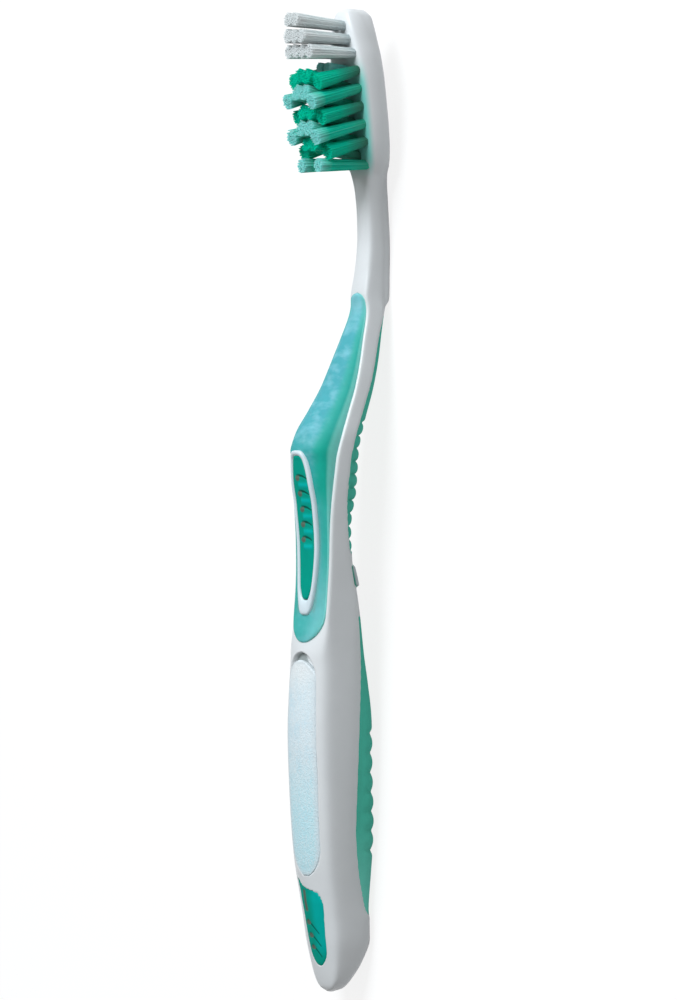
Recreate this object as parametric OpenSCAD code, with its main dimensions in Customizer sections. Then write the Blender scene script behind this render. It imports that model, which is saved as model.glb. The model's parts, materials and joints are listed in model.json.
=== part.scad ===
// Manual toothbrush lying on its back.
// +X runs along the brush from the heel of the handle to the tip of the head,
// +Z is the side that the bristles stand out of, and +Y is the brush's width.
// The origin is under the middle of the brush, at the surface that it lies on.
// Every outline below is a list of rows [distance from the heel, value], and a
// smooth curve runs through the rows.

/* [Lengths] */
// Heel end of the handle, below the front panel
heel_len = 24; // [22:0.5:28]
// Flat front panel zone of the handle
panel_len = 43; // [38:0.5:50]
// Thumb grip zone
thumb_len = 38; // [36:0.5:44]
// Rise from the neck to the thumb crest
throat_len = 28.5; // [26:0.5:32]
// Slim white neck
neck_len = 25; // [22:0.5:30]
// Brush head
head_len = 31.5; // [31:0.5:34]

/* [Widths] */
// Widest place of the handle, at the front panel
handle_w = 14.2; // [13.6:0.1:16]
// Width at the thumb grip
thumb_w = 13.9; // [13.2:0.1:15.5]
// Width of the neck
neck_w = 5.2; // [4.6:0.1:6]
// Width of the head
head_w = 12.4; // [12.2:0.1:13.5]

/* [Heights above the surface] */
// Front of the handle at the top of the panel
panel_h = 15.3; // [14.8:0.1:16]
// White rim along the thumb grip
rim_h = 14.4; // [13.8:0.1:15]
// Front of the insert under the thumb pad
grip_h = 14.8; // [14.6:0.1:15.2]
// Crest of the insert above the thumb grip
crest_h = 18.1; // [17.4:0.1:18.8]
// Underside of the arch below the thumb
arch_h = 8.8; // [8.2:0.1:9.4]
// Underside of the belly below the panel
belly_h = 2.3; // [1.8:0.1:2.8]
// Front of the neck at its lowest
neck_h = 5.5; // [5.1:0.1:6.2]
// Back of the head where the neck ends
head_lift = 1.8; // [1.5:0.1:2.4]
// Thickness of the head
head_t = 6.5; // [6.2:0.1:7]
// Depth of the flats on the back that the brush rests on
rest_flat = 0.12; // [0.05:0.01:0.2]
// Forward tilt of the head, degrees
head_tilt = 9; // [6:0.5:11]

/* [Inserts] */
// Width of the white rim beside the front insert
rim_w = 0.4; // [0.35:0.05:0.8]
// Depth of the front insert's pocket
insert_depth = 1.6; // [1.2:0.1:1.8]
// Depth of the back grips' pockets
grip_depth = 1.2; // [0.9:0.1:1.4]
// Depth of the front panel's pocket
panel_depth = 0.9; // [0.7:0.1:1.2]
// Depth of the heel pad's pocket
pad_depth = 1.1; // [0.8:0.1:1.4]
// Slope of every pocket wall, measured across
draft = 0.2; // [0.15:0.05:0.25]
// Height that the ring stands out of the insert
ring_proud = 0.7; // [0.6:0.05:0.9]
// Thickness of the thumb pad inside the ring
thumb_pad_t = 0.55; // [0.45:0.05:0.7]
// Width of the ring's bead
ring_w = 1.15; // [1:0.05:1.3]
// Height of the crown across the front panel
panel_crown = 1.1; // [0.8:0.1:1.3]

/* [Ribs] */
// Ribs of the upper back grip
upper_ribs = 10; // [8:1:11]
// Ribs of the lower back grip
lower_ribs = 6; // [4:1:7]
// Ribs of the thumb pad
thumb_ribs = 5; // [3:1:6]
// Depth of the grooves between the ribs
rib_depth = 0.6; // [0.4:0.05:0.8]

/* [Tufts] */
// Diameter of a tuft hole
hole_d = 1.8; // [1.6:0.05:1.85]
// Depth of a tuft hole
hole_depth = 2.7; // [2.4:0.1:3]
// Height of the metal plate at the bottom of a hole
anchor_h = 1.2; // [1:0.1:1.4]
// Thickness of the metal plate
anchor_t = 0.3; // [0.2:0.05:0.4]
// Gap between two rows of crossed tufts
cross_pitch = 3.4; // [3.2:0.05:3.6]
// Gap between two rows of toe tufts
toe_pitch = 2.65; // [2.5:0.05:2.8]
// Gap between two tufts of a toe row
toe_spacing = 2.4; // [2.3:0.05:2.6]
// Length of the white toe tufts above the face
toe_tuft_h = 10.9; // [9:0.1:12]
// Length of the light inner tufts
inner_tuft_h = 11.4; // [9:0.1:12]
// Length of the dark inner tufts
inner_short_h = 10.5; // [8:0.1:12]
// Length of the light outer tufts
outer_tuft_h = 11.4; // [10:0.1:13]
// Length of the dark outer tufts
short_tuft_h = 9.5; // [8:0.1:10.5]
// Heelward lean of the outer tufts, degrees
outer_lean = 17; // [12:0.5:18]
// Toeward lean of the inner tufts, degrees
inner_lean = 10; // [6:0.5:12]
// Thickness of one strand
strand_d = 0.36; // [0.3:0.01:0.4]

/* [Hidden] */
total_len = heel_len + panel_len + thumb_len + throat_len + neck_len + head_len;
panel_x = heel_len;
thumb_x = panel_x + panel_len;
throat_x = thumb_x + thumb_len;
neck_x = throat_x + throat_len;
head_x = neck_x + neck_len;

function heel_at(share) = share * heel_len;
function panel_at(share) = panel_x + share * panel_len;
function thumb_at(share) = thumb_x + share * thumb_len;
function throat_at(share) = throat_x + share * throat_len;
function neck_at(share) = neck_x + share * neck_len;
function head_at(share) = head_x + share * head_len;
function head_back(share) = head_lift + share * head_len * tan(head_tilt);

// A smooth curve through rows [place, value], which never overshoots a row
function slope_of(rows, i) =
    (rows[i + 1][1] - rows[i][1]) / (rows[i + 1][0] - rows[i][0]);
function tangent_of(rows, i) =
    i == 0 ? slope_of(rows, 0)
    : i == len(rows) - 1 ? slope_of(rows, i - 1)
    : let (a = slope_of(rows, i - 1), b = slope_of(rows, i))
      a * b <= 0 ? 0 : 2 * a * b / (a + b);
function row_before(rows, x, i = 0) =
    i >= len(rows) - 2 || rows[i + 1][0] >= x ? i : row_before(rows, x, i + 1);
function curve(rows, x) =
    let (i = row_before(rows, x),
         span = rows[i + 1][0] - rows[i][0],
         t = max(0, min(1, (x - rows[i][0]) / span)),
         a = rows[i][1], b = rows[i + 1][1],
         ta = tangent_of(rows, i) * span, tb = tangent_of(rows, i + 1) * span)
    a * (1 + 2 * t) * pow(1 - t, 2) + ta * t * pow(1 - t, 2)
    + b * t * t * (3 - 2 * t) - tb * t * t * (1 - t);

half_width_rows = [
    [heel_at(0), 0.05 * handle_w], [heel_at(0.03), 0.17 * handle_w],
    [heel_at(0.1), 0.285 * handle_w], [heel_at(0.25), 0.37 * handle_w],
    [heel_at(0.45), 0.435 * handle_w], [heel_at(0.8), 0.46 * handle_w],
    [panel_at(0.15), 0.49 * handle_w], [panel_at(0.45), 0.5 * handle_w],
    [panel_at(0.75), 0.48 * handle_w], [thumb_at(0), 0.46 * thumb_w],
    [thumb_at(0.25), 0.455 * thumb_w], [thumb_at(0.5), 0.47 * thumb_w],
    [thumb_at(0.9), 0.5 * thumb_w], [throat_at(0.08), 0.495 * thumb_w],
    [throat_at(0.25), 0.45 * thumb_w], [throat_at(0.5), 0.385 * thumb_w],
    [throat_at(0.75), 0.3 * thumb_w], [throat_at(0.95), 0.24 * thumb_w],
    [neck_at(0.08), 0.56 * neck_w], [neck_at(0.3), 0.51 * neck_w],
    [neck_at(0.65), 0.5 * neck_w], [neck_at(0.85), 0.54 * neck_w],
    [head_at(0), 0.29 * head_w], [head_at(0.05), 0.37 * head_w],
    [head_at(0.1), 0.42 * head_w],
    [head_at(0.2), 0.475 * head_w], [head_at(0.35), 0.5 * head_w],
    [head_at(0.55), 0.495 * head_w], [head_at(0.7), 0.455 * head_w],
    [head_at(0.8), 0.385 * head_w], [head_at(0.88), 0.315 * head_w],
    [head_at(0.94), 0.23 * head_w], [head_at(0.98), 0.13 * head_w],
    [head_at(1), 0.05 * head_w]];

// Height of the white front edge
front_rim_rows = [
    [heel_at(0), 0.42 * panel_h], [heel_at(0.03), 0.46 * panel_h],
    [heel_at(0.1), 0.49 * panel_h], [heel_at(0.25), 0.54 * panel_h],
    [heel_at(0.7), 0.68 * panel_h], [panel_at(0.05), 0.8 * panel_h],
    [panel_at(0.35), 0.9 * panel_h], [panel_at(0.7), 0.975 * panel_h],
    [panel_at(0.94), 0.98 * panel_h], [thumb_at(0.13), 0.985 * rim_h],
    [thumb_at(0.35), 0.97 * rim_h], [thumb_at(0.66), 0.993 * rim_h], [thumb_at(0.94), 0.95 * rim_h],
    [throat_at(0.08), 0.88 * rim_h], [throat_at(0.25), 0.76 * rim_h],
    [throat_at(0.42), 0.64 * rim_h], [throat_at(0.75), 0.48 * rim_h],
    [throat_at(0.96), 1.06 * neck_h], [neck_at(0.06), 1.12 * neck_h],
    [neck_at(0.25), 1.04 * neck_h], [neck_at(0.45), neck_h],
    [neck_at(0.7), 1.08 * neck_h],
    [head_at(0), head_back(0) + 0.82 * head_t],
    [head_at(0.12), head_back(0.12) + 0.9 * head_t],
    [head_at(0.3), head_back(0.3) + 0.93 * head_t],
    [head_at(0.6), head_back(0.6) + 0.97 * head_t],
    [head_at(0.85), head_back(0.85) + head_t],
    [head_at(0.93), head_back(0.93) + 0.98 * head_t],
    [head_at(0.98), head_back(0.98) + 0.89 * head_t],
    [head_at(1), head_back(1) + 0.7 * head_t]];

// Height of the lower edge of the white side
back_rim_rows = [
    [heel_at(0), 0.38 * panel_h], [heel_at(0.03), 0.3 * panel_h],
    [heel_at(0.1), 0.235 * panel_h], [heel_at(0.25), 0.14 * panel_h],
    [heel_at(0.42), 0.1 * panel_h], [heel_at(0.6), 0.55 * belly_h],
    [heel_at(0.68), 1.2 * belly_h], [heel_at(0.8), 1.65 * belly_h],
    [panel_at(0), 2.2 * belly_h], [panel_at(0.2), 2.7 * belly_h],
    [panel_at(0.5), 2.75 * belly_h], [panel_at(0.9), 2.7 * belly_h],
    [thumb_at(0.15), 0.79 * arch_h], [thumb_at(0.28), 0.88 * arch_h],
    [thumb_at(0.42), 1.03 * arch_h], [thumb_at(0.62), 1.19 * arch_h],
    [thumb_at(0.76), 1.24 * arch_h], [thumb_at(0.95), 1.19 * arch_h],
    [throat_at(0.1), 1.07 * arch_h], [throat_at(0.25), 0.89 * arch_h],
    [throat_at(0.5), 0.6 * arch_h], [throat_at(0.75), 0.4 * arch_h],
    [throat_at(0.98), 0.22 * arch_h], [neck_at(0.08), 0.4 * neck_h],
    [neck_at(0.35), 0.36 * neck_h], [neck_at(0.7), 0.5 * neck_h],
    [head_at(0), head_back(0) + 0.26 * head_t],
    [head_at(0.3), head_back(0.3) + 0.3 * head_t],
    [head_at(0.85), head_back(0.85) + 0.34 * head_t],
    [head_at(0.98), head_back(0.98) + 0.42 * head_t],
    [head_at(1), head_back(1) + 0.5 * head_t]];

// Height of the back at the middle of the brush, over the ribs
back_rows = [
    [heel_at(0), 0.35 * panel_h], [heel_at(0.03), 0.25 * panel_h],
    [heel_at(0.1), 0.175 * panel_h], [heel_at(0.25), 0.065 * panel_h],
    [heel_at(0.42), 0], [heel_at(0.5), 0.02 * panel_h],
    [heel_at(0.62), 0.3 * belly_h], [panel_at(0.05), 0.12 * belly_h],
    [panel_at(0.2), 0.2 * belly_h], [panel_at(0.5), 0.65 * belly_h],
    [panel_at(0.66), 0.75 * belly_h], [panel_at(0.85), 1.35 * belly_h],
    [thumb_at(0.05), 0.57 * arch_h], [thumb_at(0.25), 0.75 * arch_h],
    [thumb_at(0.44), 0.93 * arch_h], [thumb_at(0.62), 0.97 * arch_h],
    [thumb_at(0.8), 0.85 * arch_h], [throat_at(0), 0.84 * arch_h],
    [throat_at(0.15), 0.75 * arch_h], [throat_at(0.4), 0.5 * arch_h],
    [throat_at(0.65), 0.31 * arch_h], [throat_at(0.97), 0.14 * arch_h],
    [neck_at(0.03), 0.02 * neck_h], [neck_at(0.06), 0], [neck_at(0.28), 0],
    [neck_at(0.45), 0.02 * neck_h], [neck_at(0.8), 0.17 * neck_h],
    [head_at(0), head_back(0)], [head_at(0.3), head_back(0.3) - 0.01 * head_t],
    [head_at(0.6), head_back(0.6) - 0.035 * head_t],
    [head_at(0.85), head_back(0.85) - 0.06 * head_t],
    [head_at(0.95), head_back(0.95) - 0.07 * head_t],
    [head_at(1), head_back(1) + 0.1 * head_t]];

// How far the flat front stands in from the brush's widest place
front_bevel_rows = [
    [heel_at(0), 0.01 * handle_w], [heel_at(0.1), 0.05 * handle_w],
    [heel_at(0.7), 0.1 * handle_w], [panel_at(0.1), 0.08 * handle_w],
    [panel_at(0.9), 0.09 * handle_w], [thumb_at(0), 0.06 * handle_w],
    [thumb_at(0.2), 0.02 * thumb_w], [throat_at(0.1), 0.02 * thumb_w],
    [throat_at(0.9), 0.025 * thumb_w], [neck_at(0.15), 0.09 * neck_w],
    [head_at(0), 0.04 * head_w], [head_at(0.9), 0.035 * head_w],
    [head_at(1), 0.01 * head_w]];
// The same for the back
back_bevel_rows = [
    [heel_at(0), 0.01 * handle_w], [heel_at(0.1), 0.06 * handle_w],
    [heel_at(0.4), 0.03 * handle_w], [panel_at(0.5), 0.025 * handle_w],
    [thumb_at(0.5), 0.03 * thumb_w], [throat_at(0.9), 0.025 * thumb_w],
    [neck_at(0.15), 0.02 * neck_w], [head_at(0.2), 0.03 * head_w],
    [head_at(0.9), 0.03 * head_w], [head_at(1), 0.01 * head_w]];
// Crown of the white front above its edges
front_crown_rows = [
    [heel_at(0), 0.1 * panel_crown], [heel_at(0.15), 0.4 * panel_crown],
    [heel_at(0.8), panel_crown], [panel_at(0.9), panel_crown],
    [thumb_at(0.06), 0.5 * panel_crown], [thumb_at(0.15), 0.1 * panel_crown],
    [neck_at(0), 0.1 * panel_crown], [neck_at(0.3), 0.3 * panel_crown],
    [head_at(0), 0.1 * panel_crown], [head_at(1), 0.1 * panel_crown]];

function half_width(x) = curve(half_width_rows, x);
function front_rim(x) = curve(front_rim_rows, x);
function back_rim(x) = curve(back_rim_rows, x);
function back_raw(x) = curve(back_rows, x) - rest_flat;
function front_half(x) = half_width(x) - curve(front_bevel_rows, x);
function back_half(x) = half_width(x) - curve(back_bevel_rows, x);
function front_z(x, y) =
    front_rim(x) + curve(front_crown_rows, x) * max(0, 1 - pow(y / front_half(x), 2));
// Just inside its edges the back curves down as a superellipse: how boxy it is
back_power_rows = [
    [heel_at(0), 2.6], [heel_at(0.3), 3.2], [heel_at(0.45), 4.2], [panel_at(0), 4.8],
    [thumb_at(0), 4.8], [thumb_at(0.5), 3.6], [throat_at(0.5), 3.6], [neck_at(0.2), 4.6],
    [head_at(0.3), 4], [head_at(1), 3]];
back_edge = 0.25;
function back_span(x) = back_half(x) - back_edge;
function back_surface(x, y) =
    let (share = min(1, abs(y) / back_span(x)), p = curve(back_power_rows, x))
    max(0, back_rim(x) + (back_raw(x) - back_rim(x)) * pow(1 - pow(share, p), 1 / p));

// Front insert: a dome that rises out of the white rim
insert_x0 = thumb_at(0.01);
insert_x1 = neck_at(0.07);
insert_end = 5.4;
insert_tip = 1.4;
insert_top_rows = [
    [insert_x0, 0.02 * crest_h], [thumb_at(0.07), 0.045 * crest_h],
    [thumb_at(0.2), grip_h - 1.005 * rim_h], [thumb_at(0.5), grip_h - 0.993 * rim_h],
    [thumb_at(0.7), 1.07 * grip_h - rim_h], [thumb_at(0.82), 1.16 * grip_h - rim_h],
    [thumb_at(0.93), 0.975 * crest_h - 0.955 * rim_h],
    [throat_at(0), crest_h - 0.92 * rim_h], [throat_at(0.09), 0.975 * crest_h - 0.87 * rim_h],
    [throat_at(0.25), 0.845 * crest_h - 0.76 * rim_h],
    [throat_at(0.42), 0.69 * crest_h - 0.64 * rim_h],
    [throat_at(0.62), 0.56 * crest_h - 0.55 * rim_h],
    [throat_at(0.8), 0.07 * crest_h], [throat_at(0.95), 0.035 * crest_h],
    [insert_x1, 0.02 * crest_h]];
insert_power_rows = [
    [insert_x0, 3.4], [thumb_at(0.6), 3.2], [thumb_at(0.85), 3.2],
    [throat_at(0.05), 3], [throat_at(0.3), 2.4], [throat_at(0.6), 2.1], [insert_x1, 2.1]];
// Rounded ends of a pocket, as a share of its full half width
least_share = 0.16;
function end_share(x, x0, x1, r0, r1) =
    let (a = max(0, min(1, (x - x0) / r0)), b = max(0, min(1, (x1 - x) / r1)))
    max(least_share, sqrt(1 - pow(1 - a, 2))) * max(least_share, sqrt(1 - pow(1 - b, 2)));
// A pocket never closes to less than a share of what it lies in
function open_half(half, whole) = max(half, least_share * whole);
function insert_half(x) = open_half(
    (front_half(x) - rim_w) * end_share(x, insert_x0, insert_x1, insert_end, insert_tip),
    front_half(x));
function insert_z(x, y) =
    let (share = min(1, abs(y) / insert_half(x)), p = curve(insert_power_rows, x))
    front_z(x, insert_half(x)) + curve(insert_top_rows, x) * pow(1 - pow(share, p), 1 / p);

// Front panel and heel pad: outlines on the crowned white front
panel_x0 = heel_at(0.93);
panel_x1 = panel_at(0.965);
panel_round0 = 5.6;
panel_round1 = 5.2;
panel_edge = 1.15;
recess_len = 1.5;
function panel_half(x) = open_half(
    (front_half(x) - panel_edge) * end_share(x, panel_x0, panel_x1, panel_round0, panel_round1),
    front_half(x));
pad_x0 = heel_at(0.205);
pad_x1 = heel_at(0.903);
pad_round0 = 3;
pad_far_share_rows = [
    [pad_x0, 0.6], [heel_at(0.5), 0.66], [heel_at(0.65), 0.7], [heel_at(0.8), 0.84],
    [pad_x1, 0.92]];
function pad_far(x) = open_half(
    front_half(x) * curve(pad_far_share_rows, x)
    * end_share(x, pad_x0, total_len, pad_round0, pad_round0),
    front_half(x));
// The near edge turns across the front to a point on the far side
pad_near_share_rows = [
    [pad_x0, -0.64], [heel_at(0.49), -0.7], [heel_at(0.69), -0.78], [heel_at(0.755), -0.7],
    [heel_at(0.805), -0.44], [heel_at(0.824), 0], [heel_at(0.842), 0.3], [pad_x1, 0.72]];
function pad_near(x) =
    front_half(x) * curve(pad_near_share_rows, x)
    * end_share(x, pad_x0, total_len, pad_round0, pad_round0);

// Pockets: each is [start, end, depth], and what it holds fills it
wall_len = draft;
function ramp(x, x0, x1, depth) =
    depth * max(0, min(1, min((x - x0), (x1 - x)) / wall_len));
function in_pad(x) = x < (pad_x1 + panel_x0) / 2;
function in_panel(x) = !in_pad(x) && x < (panel_x1 + insert_x0) / 2;
function front_depth(x) =
    in_pad(x) ? ramp(x, pad_x0, pad_x1, pad_depth)
    : in_panel(x) ? ramp(x, panel_x0, panel_x1, panel_depth)
    : ramp(x, insert_x0, insert_x1, insert_depth);
function front_left(x) =
    in_pad(x) ? pad_far(x) : in_panel(x) ? panel_half(x) : insert_half(x);
function front_right(x) =
    in_pad(x) ? pad_near(x) : in_panel(x) ? -panel_half(x) : -insert_half(x);

lower_x0 = heel_at(0.575);
lower_x1 = thumb_at(0.23);
boss_x0 = thumb_at(0.29);
boss_x1 = thumb_at(0.425);
upper_x0 = thumb_at(0.435);
upper_x1 = throat_at(0.985);
boss_depth = 0.7;
function in_lower(x) = x < (lower_x1 + boss_x0) / 2;
function in_boss(x) = !in_lower(x) && x < (boss_x1 + upper_x0) / 2;
lower_round0 = 3;
lower_round1 = 8;
upper_round = 2;
boss_round = 2.6;
boss_w = 11.6;
function back_pocket_half(x) = open_half(
    in_lower(x)
    ? back_span(x) * end_share(x, lower_x0, lower_x1, lower_round0, lower_round1)
    : in_boss(x) ? boss_w / 2 * end_share(x, boss_x0, boss_x1, boss_round, boss_round)
    : back_span(x) * end_share(x, upper_x0, upper_x1, upper_round, upper_round),
    back_span(x));
function back_depth(x) =
    in_lower(x) ? ramp(x, lower_x0, lower_x1, grip_depth)
    : in_boss(x) ? ramp(x, boss_x0, boss_x1, boss_depth)
    : ramp(x, upper_x0, upper_x1, grip_depth);

// Stations: even steps along the brush, and close ones at both ends of a pocket
function sorted(v) =
    len(v) < 2 ? v
    : let (p = v[floor(len(v) / 2)])
      concat(sorted([for (a = v) if (a < p) a]), [p], sorted([for (a = v) if (a > p) a]));
even_step = 6;
tip_shares = [0, 0.02, 0.06, 0.13, 0.25];
crest_shares = [-0.06, 0.03, 0.12];
end_shares = [0, 0.3];
round_shares = [0, 0.1, 0.3, 0.6];
function pocket_ends(x0, x1, r0, r1, shares = end_shares) = concat(
    [for (s = shares) x0 + s * r0], [x0 + wall_len],
    [for (s = shares) x1 - s * r1], [x1 - wall_len]);
all_stations = sorted(concat(
    [for (s = tip_shares) heel_at(s)],
    [for (s = tip_shares) total_len - s * head_len],
    [for (x = [heel_at(0.25) : even_step : head_at(0.76)]) x],
    [for (row = pad_near_share_rows) row[0]],
    pocket_ends(pad_x0, pad_x1, pad_round0, pad_round0),
    pocket_ends(panel_x0, panel_x1, panel_round0, panel_round1),
    [for (s = crest_shares) throat_at(s)],
    pocket_ends(insert_x0, insert_x1, insert_end, insert_tip, round_shares),
    pocket_ends(lower_x0, lower_x1, lower_round0, lower_round0),
    pocket_ends(boss_x0, boss_x1, boss_round, boss_round),
    pocket_ends(upper_x0, upper_x1, upper_round, upper_round),
    [neck_at(0.02), neck_at(0.06), neck_at(0.26)]));
least_step = 0.12;
stations = [for (i = [0 : len(all_stations) - 1])
    if (i == 0 || all_stations[i] - all_stations[i - 1] > least_step) all_stations[i]];
function between(x0, x1) =
    [for (x = stations) if (x >= x0 - least_step / 4 && x <= x1 + least_step / 4) x];

function mid(a, b) = (a + b) / 2;
function reversed(v) = [for (i = [len(v) - 1 : -1 : 0]) v[i]];
function at(x, y, z) = [x - total_len / 2, y, z];

// The front of the core from left to right, dipping into the pocket
draft_share = 0.35;
function draft_in(half) = min(draft, draft_share * half);
function pocket_line(x, left, right, depth) =
    let (d = draft_in((left - right) / 2))
    [for (y = [left - d, mid(left, right), right + d]) at(x, y, front_z(x, y) - depth)];
function front_line(x) =
    let (w = front_half(x), left = front_left(x), right = front_right(x))
    concat([at(x, w, front_rim(x)), at(x, mid(w, left), front_z(x, mid(w, left))),
            at(x, left, front_z(x, left))],
           pocket_line(x, left, right, front_depth(x)),
           [at(x, right, front_z(x, right)), at(x, mid(-w, right), front_z(x, mid(-w, right))),
            at(x, -w, front_rim(x))]);
function back_line(x) =
    let (w = back_half(x), h = back_pocket_half(x), d = back_depth(x),
         edge = [for (s = corner_shares) h + s * (w - h)])
    concat([for (y = edge) at(x, -y, back_surface(x, y))],
           back_floor(x, h, d),
           [for (y = reversed(edge)) at(x, y, back_surface(x, y))]);
corner_shares = [1, 0.86, 0.4, 0];
floor_shares = [-1, -0.5, 0, 0.5, 1];
// The floor of a back pocket comes in further than its walls' draft
floor_in = 0.9;
floor_in_share = 0.45;
function back_floor(x, half, depth) = [for (s = floor_shares)
    let (y = s * (half - min(floor_in, floor_in_share * half)))
    at(x, y, back_surface(x, y) + depth)];
// The white side between the two, from front to back
side_shares = [0.12, 0.42, 0.78];
side_bulge_shares = [0.75, 1, 0.85];
function side_line(x, sign) = [for (i = [0 : len(side_shares) - 1])
    let (s = side_shares[i], base = front_half(x) * (1 - s) + back_half(x) * s)
    at(x, sign * (base + side_bulge_shares[i] * (half_width(x) - base)),
       front_rim(x) * (1 - s) + back_rim(x) * s)];
function core_ring(x) = concat(
    front_line(x), side_line(x, -1), back_line(x), reversed(side_line(x, 1)));

// A closed solid through rings of points that all run the same way
module loft(rings) {
    n = len(rings[0]);
    last = len(rings) - 1;
    points = concat([for (ring = rings) each ring],
        [[for (k = [0 : 2]) mean(rings[0], k)], [for (k = [0 : 2]) mean(rings[last], k)]]);
    hub = n * len(rings);
    sides = [for (r = [0 : last - 1], i = [0 : n - 1])
        let (j = (i + 1) % n, a = r * n + i, b = r * n + j)
        each [[a, b + n, b], [a, a + n, b + n]]];
    caps = [for (i = [0 : n - 1])
        let (j = (i + 1) % n)
        each [[hub, i, j], [hub + 1, last * n + j, last * n + i]]];
    polyhedron(points = points, faces = concat(sides, caps), convexity = 8);
}
function mean(ring, k) = sum([for (p = ring) p[k]]) / len(ring);
function sum(v, i = 0) = i >= len(v) ? 0 : v[i] + sum(v, i + 1);

// Tufts: each is [name, place along the head, place across, lean, length, colour, flare]
tip_inset = 3.4;
toe_step = 3.3;
heel_step = 4.4;
outer_y = 4.2;
inner_y = 1.35;
heel_y = 2.95;
inner_last_step = 2.6;
pale_tuft_h = 5;
heel_tuft_h = 11;
white_colour = "#e8f4f5";
pale_colour = "#a9dfe0";
light_colour = "#6fc9bd";
dark_colour = "#009a76";
toe_leans = [2.5, 0, -1.5];
toe_counts = [2, 3, 4];
toe_shares = [1.04, 1, 0.94];
function toe_row_x(row) = total_len - tip_inset - row * toe_pitch;
cross_x0 = toe_row_x(2) - toe_step;
cross_rows = 5;
function cross_x(row) = cross_x0 - row * cross_pitch;
heel_x = cross_x(cross_rows - 1) - heel_step;
inner_last_x = cross_x(cross_rows - 1) - inner_last_step;
tip_flare = 1.24;
inner_flare = 1.2;
pale_flare = 1.05;
last_short_share = 0.95;
heel_lean = -4;
pale_lean = 3;
toe_places = [for (row = [0 : len(toe_counts) - 1], col = [0 : toe_counts[row] - 1])
    [toe_row_x(row), (col - (toe_counts[row] - 1) / 2) * toe_spacing, toe_leans[row],
     toe_shares[row] * toe_tuft_h, white_colour, tip_flare]];
outer_places = [for (row = [0 : cross_rows - 1], side = [-1, 1])
    [cross_x(row), side * outer_y, -outer_lean,
     row % 2 == 1 ? outer_tuft_h : row == cross_rows - 1 ? last_short_share * short_tuft_h : short_tuft_h,
     row % 2 == 1 ? light_colour : dark_colour, tip_flare]];
inner_places = [for (row = [1 : cross_rows], side = [-1, 1])
    [row == cross_rows ? inner_last_x : cross_x(row), side * inner_y, inner_lean,
     row % 2 == 0 ? inner_tuft_h : inner_short_h,
     row % 2 == 0 ? light_colour : dark_colour, inner_flare]];
pale_places = [for (side = [-1, 1])
    [cross_x(0), side * inner_y, pale_lean, pale_tuft_h, pale_colour, pale_flare]];
heel_places = [for (side = [-1, 1])
    [heel_x, side * heel_y, heel_lean, heel_tuft_h, light_colour, tip_flare]];
function named(word, places) =
    [for (i = [0 : len(places) - 1]) concat([str(word, "_tuft_", i + 1)], places[i])];
tufts = concat(named("toe", toe_places), named("outer", outer_places),
    named("inner", inner_places), named("pale", pale_places), named("heel", heel_places));

overrun = 1;
seat_gap = 0.02;
hole_sides = 8;
// Moves a child to a tuft's place on the face, with its Z along the tuft
module at_tuft(t) {
    x = t[1];
    face = front_z(x, t[2]);
    translate(at(x, t[2], face)) rotate([0, t[3], 0]) children();
}

white_plastic = "#e9f1f3";
module handle_core() {
    color(white_plastic) difference() {
        loft([for (x = stations) core_ring(x)]);
        for (t = tufts) at_tuft(t)
            translate([0, 0, -hole_depth])
                cylinder(d = hole_d, h = hole_depth + overrun, $fn = hole_sides);
    }
}

// Sections that fill a front pocket: the top from left to right, then the floor
top_steps = 6;
function fill_ring(x, left, right, depth, top) = concat(
    top, reversed(pocket_line(x, left, right, depth)));
function across(left, right, i) = mid(left, right) + (left - right) / 2 * cos(180 * i / top_steps);

module front_insert() {
    color("#46bdb4") loft([for (x = between(insert_x0 + wall_len, insert_x1 - wall_len))
        let (h = insert_half(x))
        fill_ring(x, h, -h, insert_depth, [for (i = [0 : top_steps])
            let (y = across(h, -h, i)) at(x, y, insert_z(x, y))])]);
}

// The panel stops short of its pocket's upper end, which leaves a crescent
panel_top = panel_x1 - recess_len;
panel_top_round = 4.2;
panel_proud = 0.08;
panel_clearance = 0.02;
module front_panel() {
    places = concat(between(panel_x0 + wall_len, panel_top - panel_top_round),
        [for (s = [0.6, 0.3, 0.1, 0]) panel_top - s * panel_top_round]);
    color("#d5eef6") loft([for (x = places)
        let (h = (panel_half(x) - panel_clearance)
                 * end_share(x, 0, panel_top, panel_top_round, panel_top_round))
        fill_ring(x, h, -h, panel_depth, [for (i = [0 : top_steps])
            let (y = across(h, -h, i)) at(x, y, front_z(x, y) + panel_proud)])]);
}

// Soft wave of ribs along a piece, from 0 in a groove to 1 on a rib
function wave(x, first, pitch, count) =
    let (place = (x - first) / pitch)
    place < -0.5 || place > count - 0.5 ? 0 : (1 + cos(360 * place)) / 2;
function rib_stations(x0, x1, first, pitch, count, steps) = sorted(concat(
    [for (i = [0 : count * steps]) first + (i / steps - 0.5) * pitch],
    [for (s = [0, 0.25, 0.6]) x0 + s * (first - pitch / 2 - x0)],
    [for (s = [0, 0.25, 0.6]) x1 - s * (x1 - first - (count - 0.5) * pitch)]));

heel_marks = 3;
heel_mark_pitch = 2.4;
heel_mark_x = heel_at(0.33);
heel_mark_h = 0.3;
module heel_pad() {
    marks = rib_stations(pad_x0 + wall_len, pad_x1 - wall_len,
        heel_mark_x, heel_mark_pitch, heel_marks, 4);
    color("#00a087") loft([for (x = marks)
        let (left = pad_far(x), right = pad_near(x),
             rise = heel_mark_h * wave(x, heel_mark_x, heel_mark_pitch, heel_marks))
        fill_ring(x, left, right, pad_depth, [for (i = [0 : top_steps])
            let (y = across(left, right, i), share = i > 1 && i < top_steps - 1 ? 1 : 0)
            at(x, y, front_z(x, y) + share * rise)])]);
}

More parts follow.
